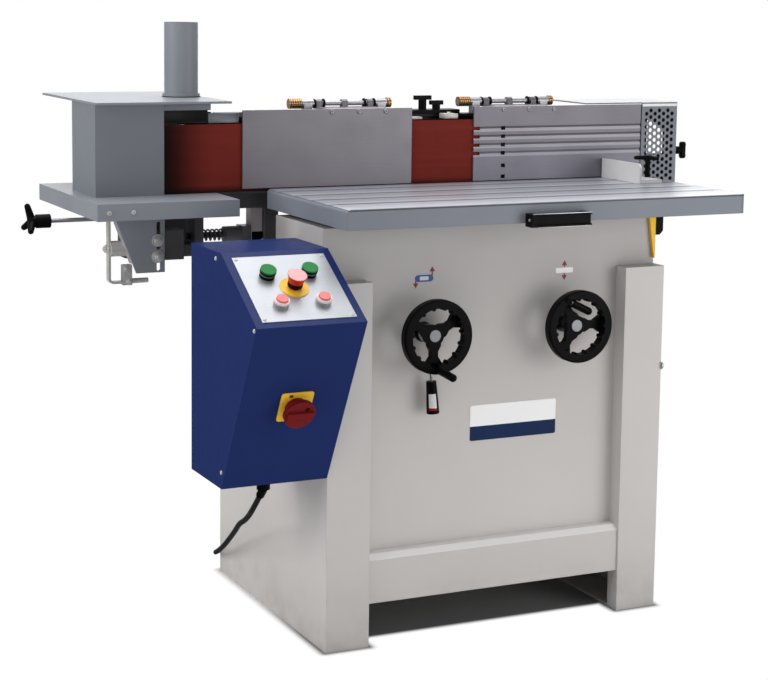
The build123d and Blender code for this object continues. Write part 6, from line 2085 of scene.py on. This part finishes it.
@dataclass
class Studio:
    """Floor, surround, light and camera, in metres, watts and degrees, with the lens in millimetres."""

    eye: Point = (-1.9503, -3.8425, 1.3823)
    yaw: float = 25.294
    pitch: float = 7.421
    roll: float = 0.732
    lens: float = 88.48
    sensor: float = 36.0
    shift_y: float = -0.1293
    floor_half: float = 14.0
    floor_dark: Colour = (0.90, 0.90, 0.90)
    floor_light: Colour = (0.93, 0.93, 0.93)
    feet: tuple[tuple[float, float, float, float], ...] = (
        (-0.36, 0.0, 0.05, 0.318),
        (0.36, 0.0, 0.05, 0.318),
        (0.0, 0.033, 0.40, 0.285),
    )
    fade: Flat = (0.0, 0.024)
    mirrored_floor: Colour = (0.08, 0.08, 0.08)
    # Painted shadow under the stand: its colour at the front and back and the span between them.
    shadow_front: Colour = (0.26, 0.26, 0.26)
    shadow_back: Colour = (0.75, 0.75, 0.75)
    shadow_span: Flat = (-0.26, 0.05)
    surround: float = 0.3
    lamps: tuple[tuple[str, Point, Point, float, float], ...] = (
        ("top", (-0.2, 0.5, 4.4), (-0.05, 0.0, 0.6), 3.4, 150.0),
        ("left", (-4.6, -0.4, 2.4), (-0.2, 0.0, 0.6), 2.6, 104.0),
        ("fill", (1.7, -2.6, 0.9), (0.15, 0.0, 0.3), 1.8, 28.0),
    )
    card: tuple[str, Point, Point, float, float] = ("back_card", (2.4, 6.0, 2.2), (0.0, 0.0, 1.0), 6.0, 170.0)

    def build(self) -> None:
        """Make the floor, the light and the camera."""
        self.build_floor()
        self.build_light()
        self.build_camera()

    def from_feet(self, sh: Shader) -> Term:
        """Distance on the floor from the nearest footprint of the stand.

        Args:
            sh: The floor's shader.

        Returns:
            The distance in metres.
        """
        reaches = []
        for middle_x, middle_y, half_x, half_y in self.feet:
            beyond = {}
            for letter, middle, half in (("X", middle_x, half_x), ("Y", middle_y, half_y)):
                side = sh.math("ABSOLUTE", sh.axis(letter) - middle)
                beyond[letter] = sh.math("MAXIMUM", side - half, 0.0)
            way = sh.node("CombineXYZ", inputs=beyond)
            reaches.append(sh.node("VectorMath", {"operation": "LENGTH"}, {0: way}, "Value"))
        nearest, *others = reaches
        for reach in others:
            nearest = sh.math("MINIMUM", nearest, reach)
        return nearest

    def build_floor(self) -> None:
        """Make a pale floor that keeps the shadow by the stand, with a painted shadow under it that darkens
        towards the front, and runs out into white.
        """
        floor = Bench.start(bpy.ops.mesh.primitive_plane_add, "floor", size=2 * self.floor_half)
        Bench.settle(floor, HERE)
        sh = Shader("pale_floor")
        clear = self.from_feet(sh).spread(*self.fade)
        base = sh.mix(sh.noise(3.0, 3.0), self.floor_dark, self.floor_light)
        # Painted shadow: inside the footprint the floor's colour runs from dark at the front to lighter at
        # the back.
        under = sh.mix(sh.axis("Y").spread(*self.shadow_span), self.shadow_front, self.shadow_back)
        sh.dress(Base_Color=sh.mix(1 - clear, base, under), Roughness=0.9, Specular_IOR_Level=0.1)
        seen, mirrored = (sh.node("LightPath", output=f"Is {ray} Ray") for ray in ("Camera", "Glossy"))
        glow = sh.node("Emission", inputs={"Color": sh.mix(mirrored, WHITE, self.mirrored_floor)})
        factor = clear * (seen + mirrored > 0.5)
        blend = sh.node("MixShader", inputs={0: factor, 1: sh.lit, 2: glow})
        sh.feed(sh.output.inputs["Surface"], blend)
        floor.data.materials.append(sh.material)

    def lamp(self, name: str, eye: Point, aim: Point, size: float, power: float) -> bpy.types.Object:
        """Add one soft square lamp.

        Args:
            name: Name of the lamp.
            eye: Where it hangs.
            aim: What it points at.
            size: Side of the square.
            power: Power in watts.

        Returns:
            The lamp.
        """
        data = bpy.data.lights.new(name, "AREA")
        data.shape = "SQUARE"
        data.size = size
        data.energy = power
        lamp = bpy.data.objects.new(name, data)
        lamp.location = eye
        lamp.rotation_euler = (Vector(aim) - Vector(eye)).to_track_quat("-Z", "Y").to_euler()
        bpy.context.scene.collection.objects.link(lamp)
        return lamp

    def build_light(self) -> None:
        """Set a white surround, three soft lamps and a card behind that only reflections show."""
        world = bpy.data.worlds.new("studio")
        bpy.context.scene.world = world
        world.use_nodes = True
        sky = Nodes(world.node_tree)
        seen = sky.node("LightPath", output="Is Camera Ray")
        soft, white = (
            sky.node("Background", inputs={"Color": WHITE, "Strength": strength})
            for strength in (self.surround, 1.0)
        )
        blend = sky.node("MixShader", inputs={0: seen, 1: soft, 2: white})
        sky.add("OutputWorld", inputs={"Surface": blend})
        for settings in self.lamps:
            self.lamp(*settings)
        card = self.lamp(*self.card)
        card.visible_camera = False
        card.visible_diffuse = False

    def build_camera(self) -> None:
        """Stand the camera where the photograph was taken from."""
        yaw, pitch, roll = (math.radians(angle) for angle in (self.yaw, self.pitch, self.roll))
        level = math.cos(pitch)
        ahead = Vector((math.sin(yaw) * level, math.cos(yaw) * level, -math.sin(pitch)))
        right = Vector((math.cos(yaw), -math.sin(yaw), 0.0))
        up = right.cross(ahead)
        turned_right = math.cos(roll) * right + math.sin(roll) * up
        turned_up = -math.sin(roll) * right + math.cos(roll) * up
        data = bpy.data.cameras.new("camera")
        data.sensor_fit = "HORIZONTAL"
        data.sensor_width = self.sensor
        data.lens = self.lens
        data.shift_y = self.shift_y
        camera = bpy.data.objects.new("camera", data)
        turn = Matrix((turned_right, turned_up, -ahead)).transposed().to_4x4()
        camera.matrix_world = Matrix.Translation(Vector(self.eye)) @ turn
        bpy.context.scene.collection.objects.link(camera)
        bpy.context.scene.camera = camera


def main() -> None:
    """Build the studio and every sub-assembly in order."""
    logging.basicConfig(level=logging.INFO, format="%(message)s")
    bpy.context.scene.view_settings.view_transform = "Standard"
    Studio().build()
    finishes = Finishes()
    for kind in (Controls, Stand, HandWheels, WorkTable, BeltUnit, Fences, EndTable):
        assembly = kind(finishes)
        assembly.dress()
        assembly.build()
        LOG.info("%s built", kind.__name__)


if __name__ == "__main__":
    main()
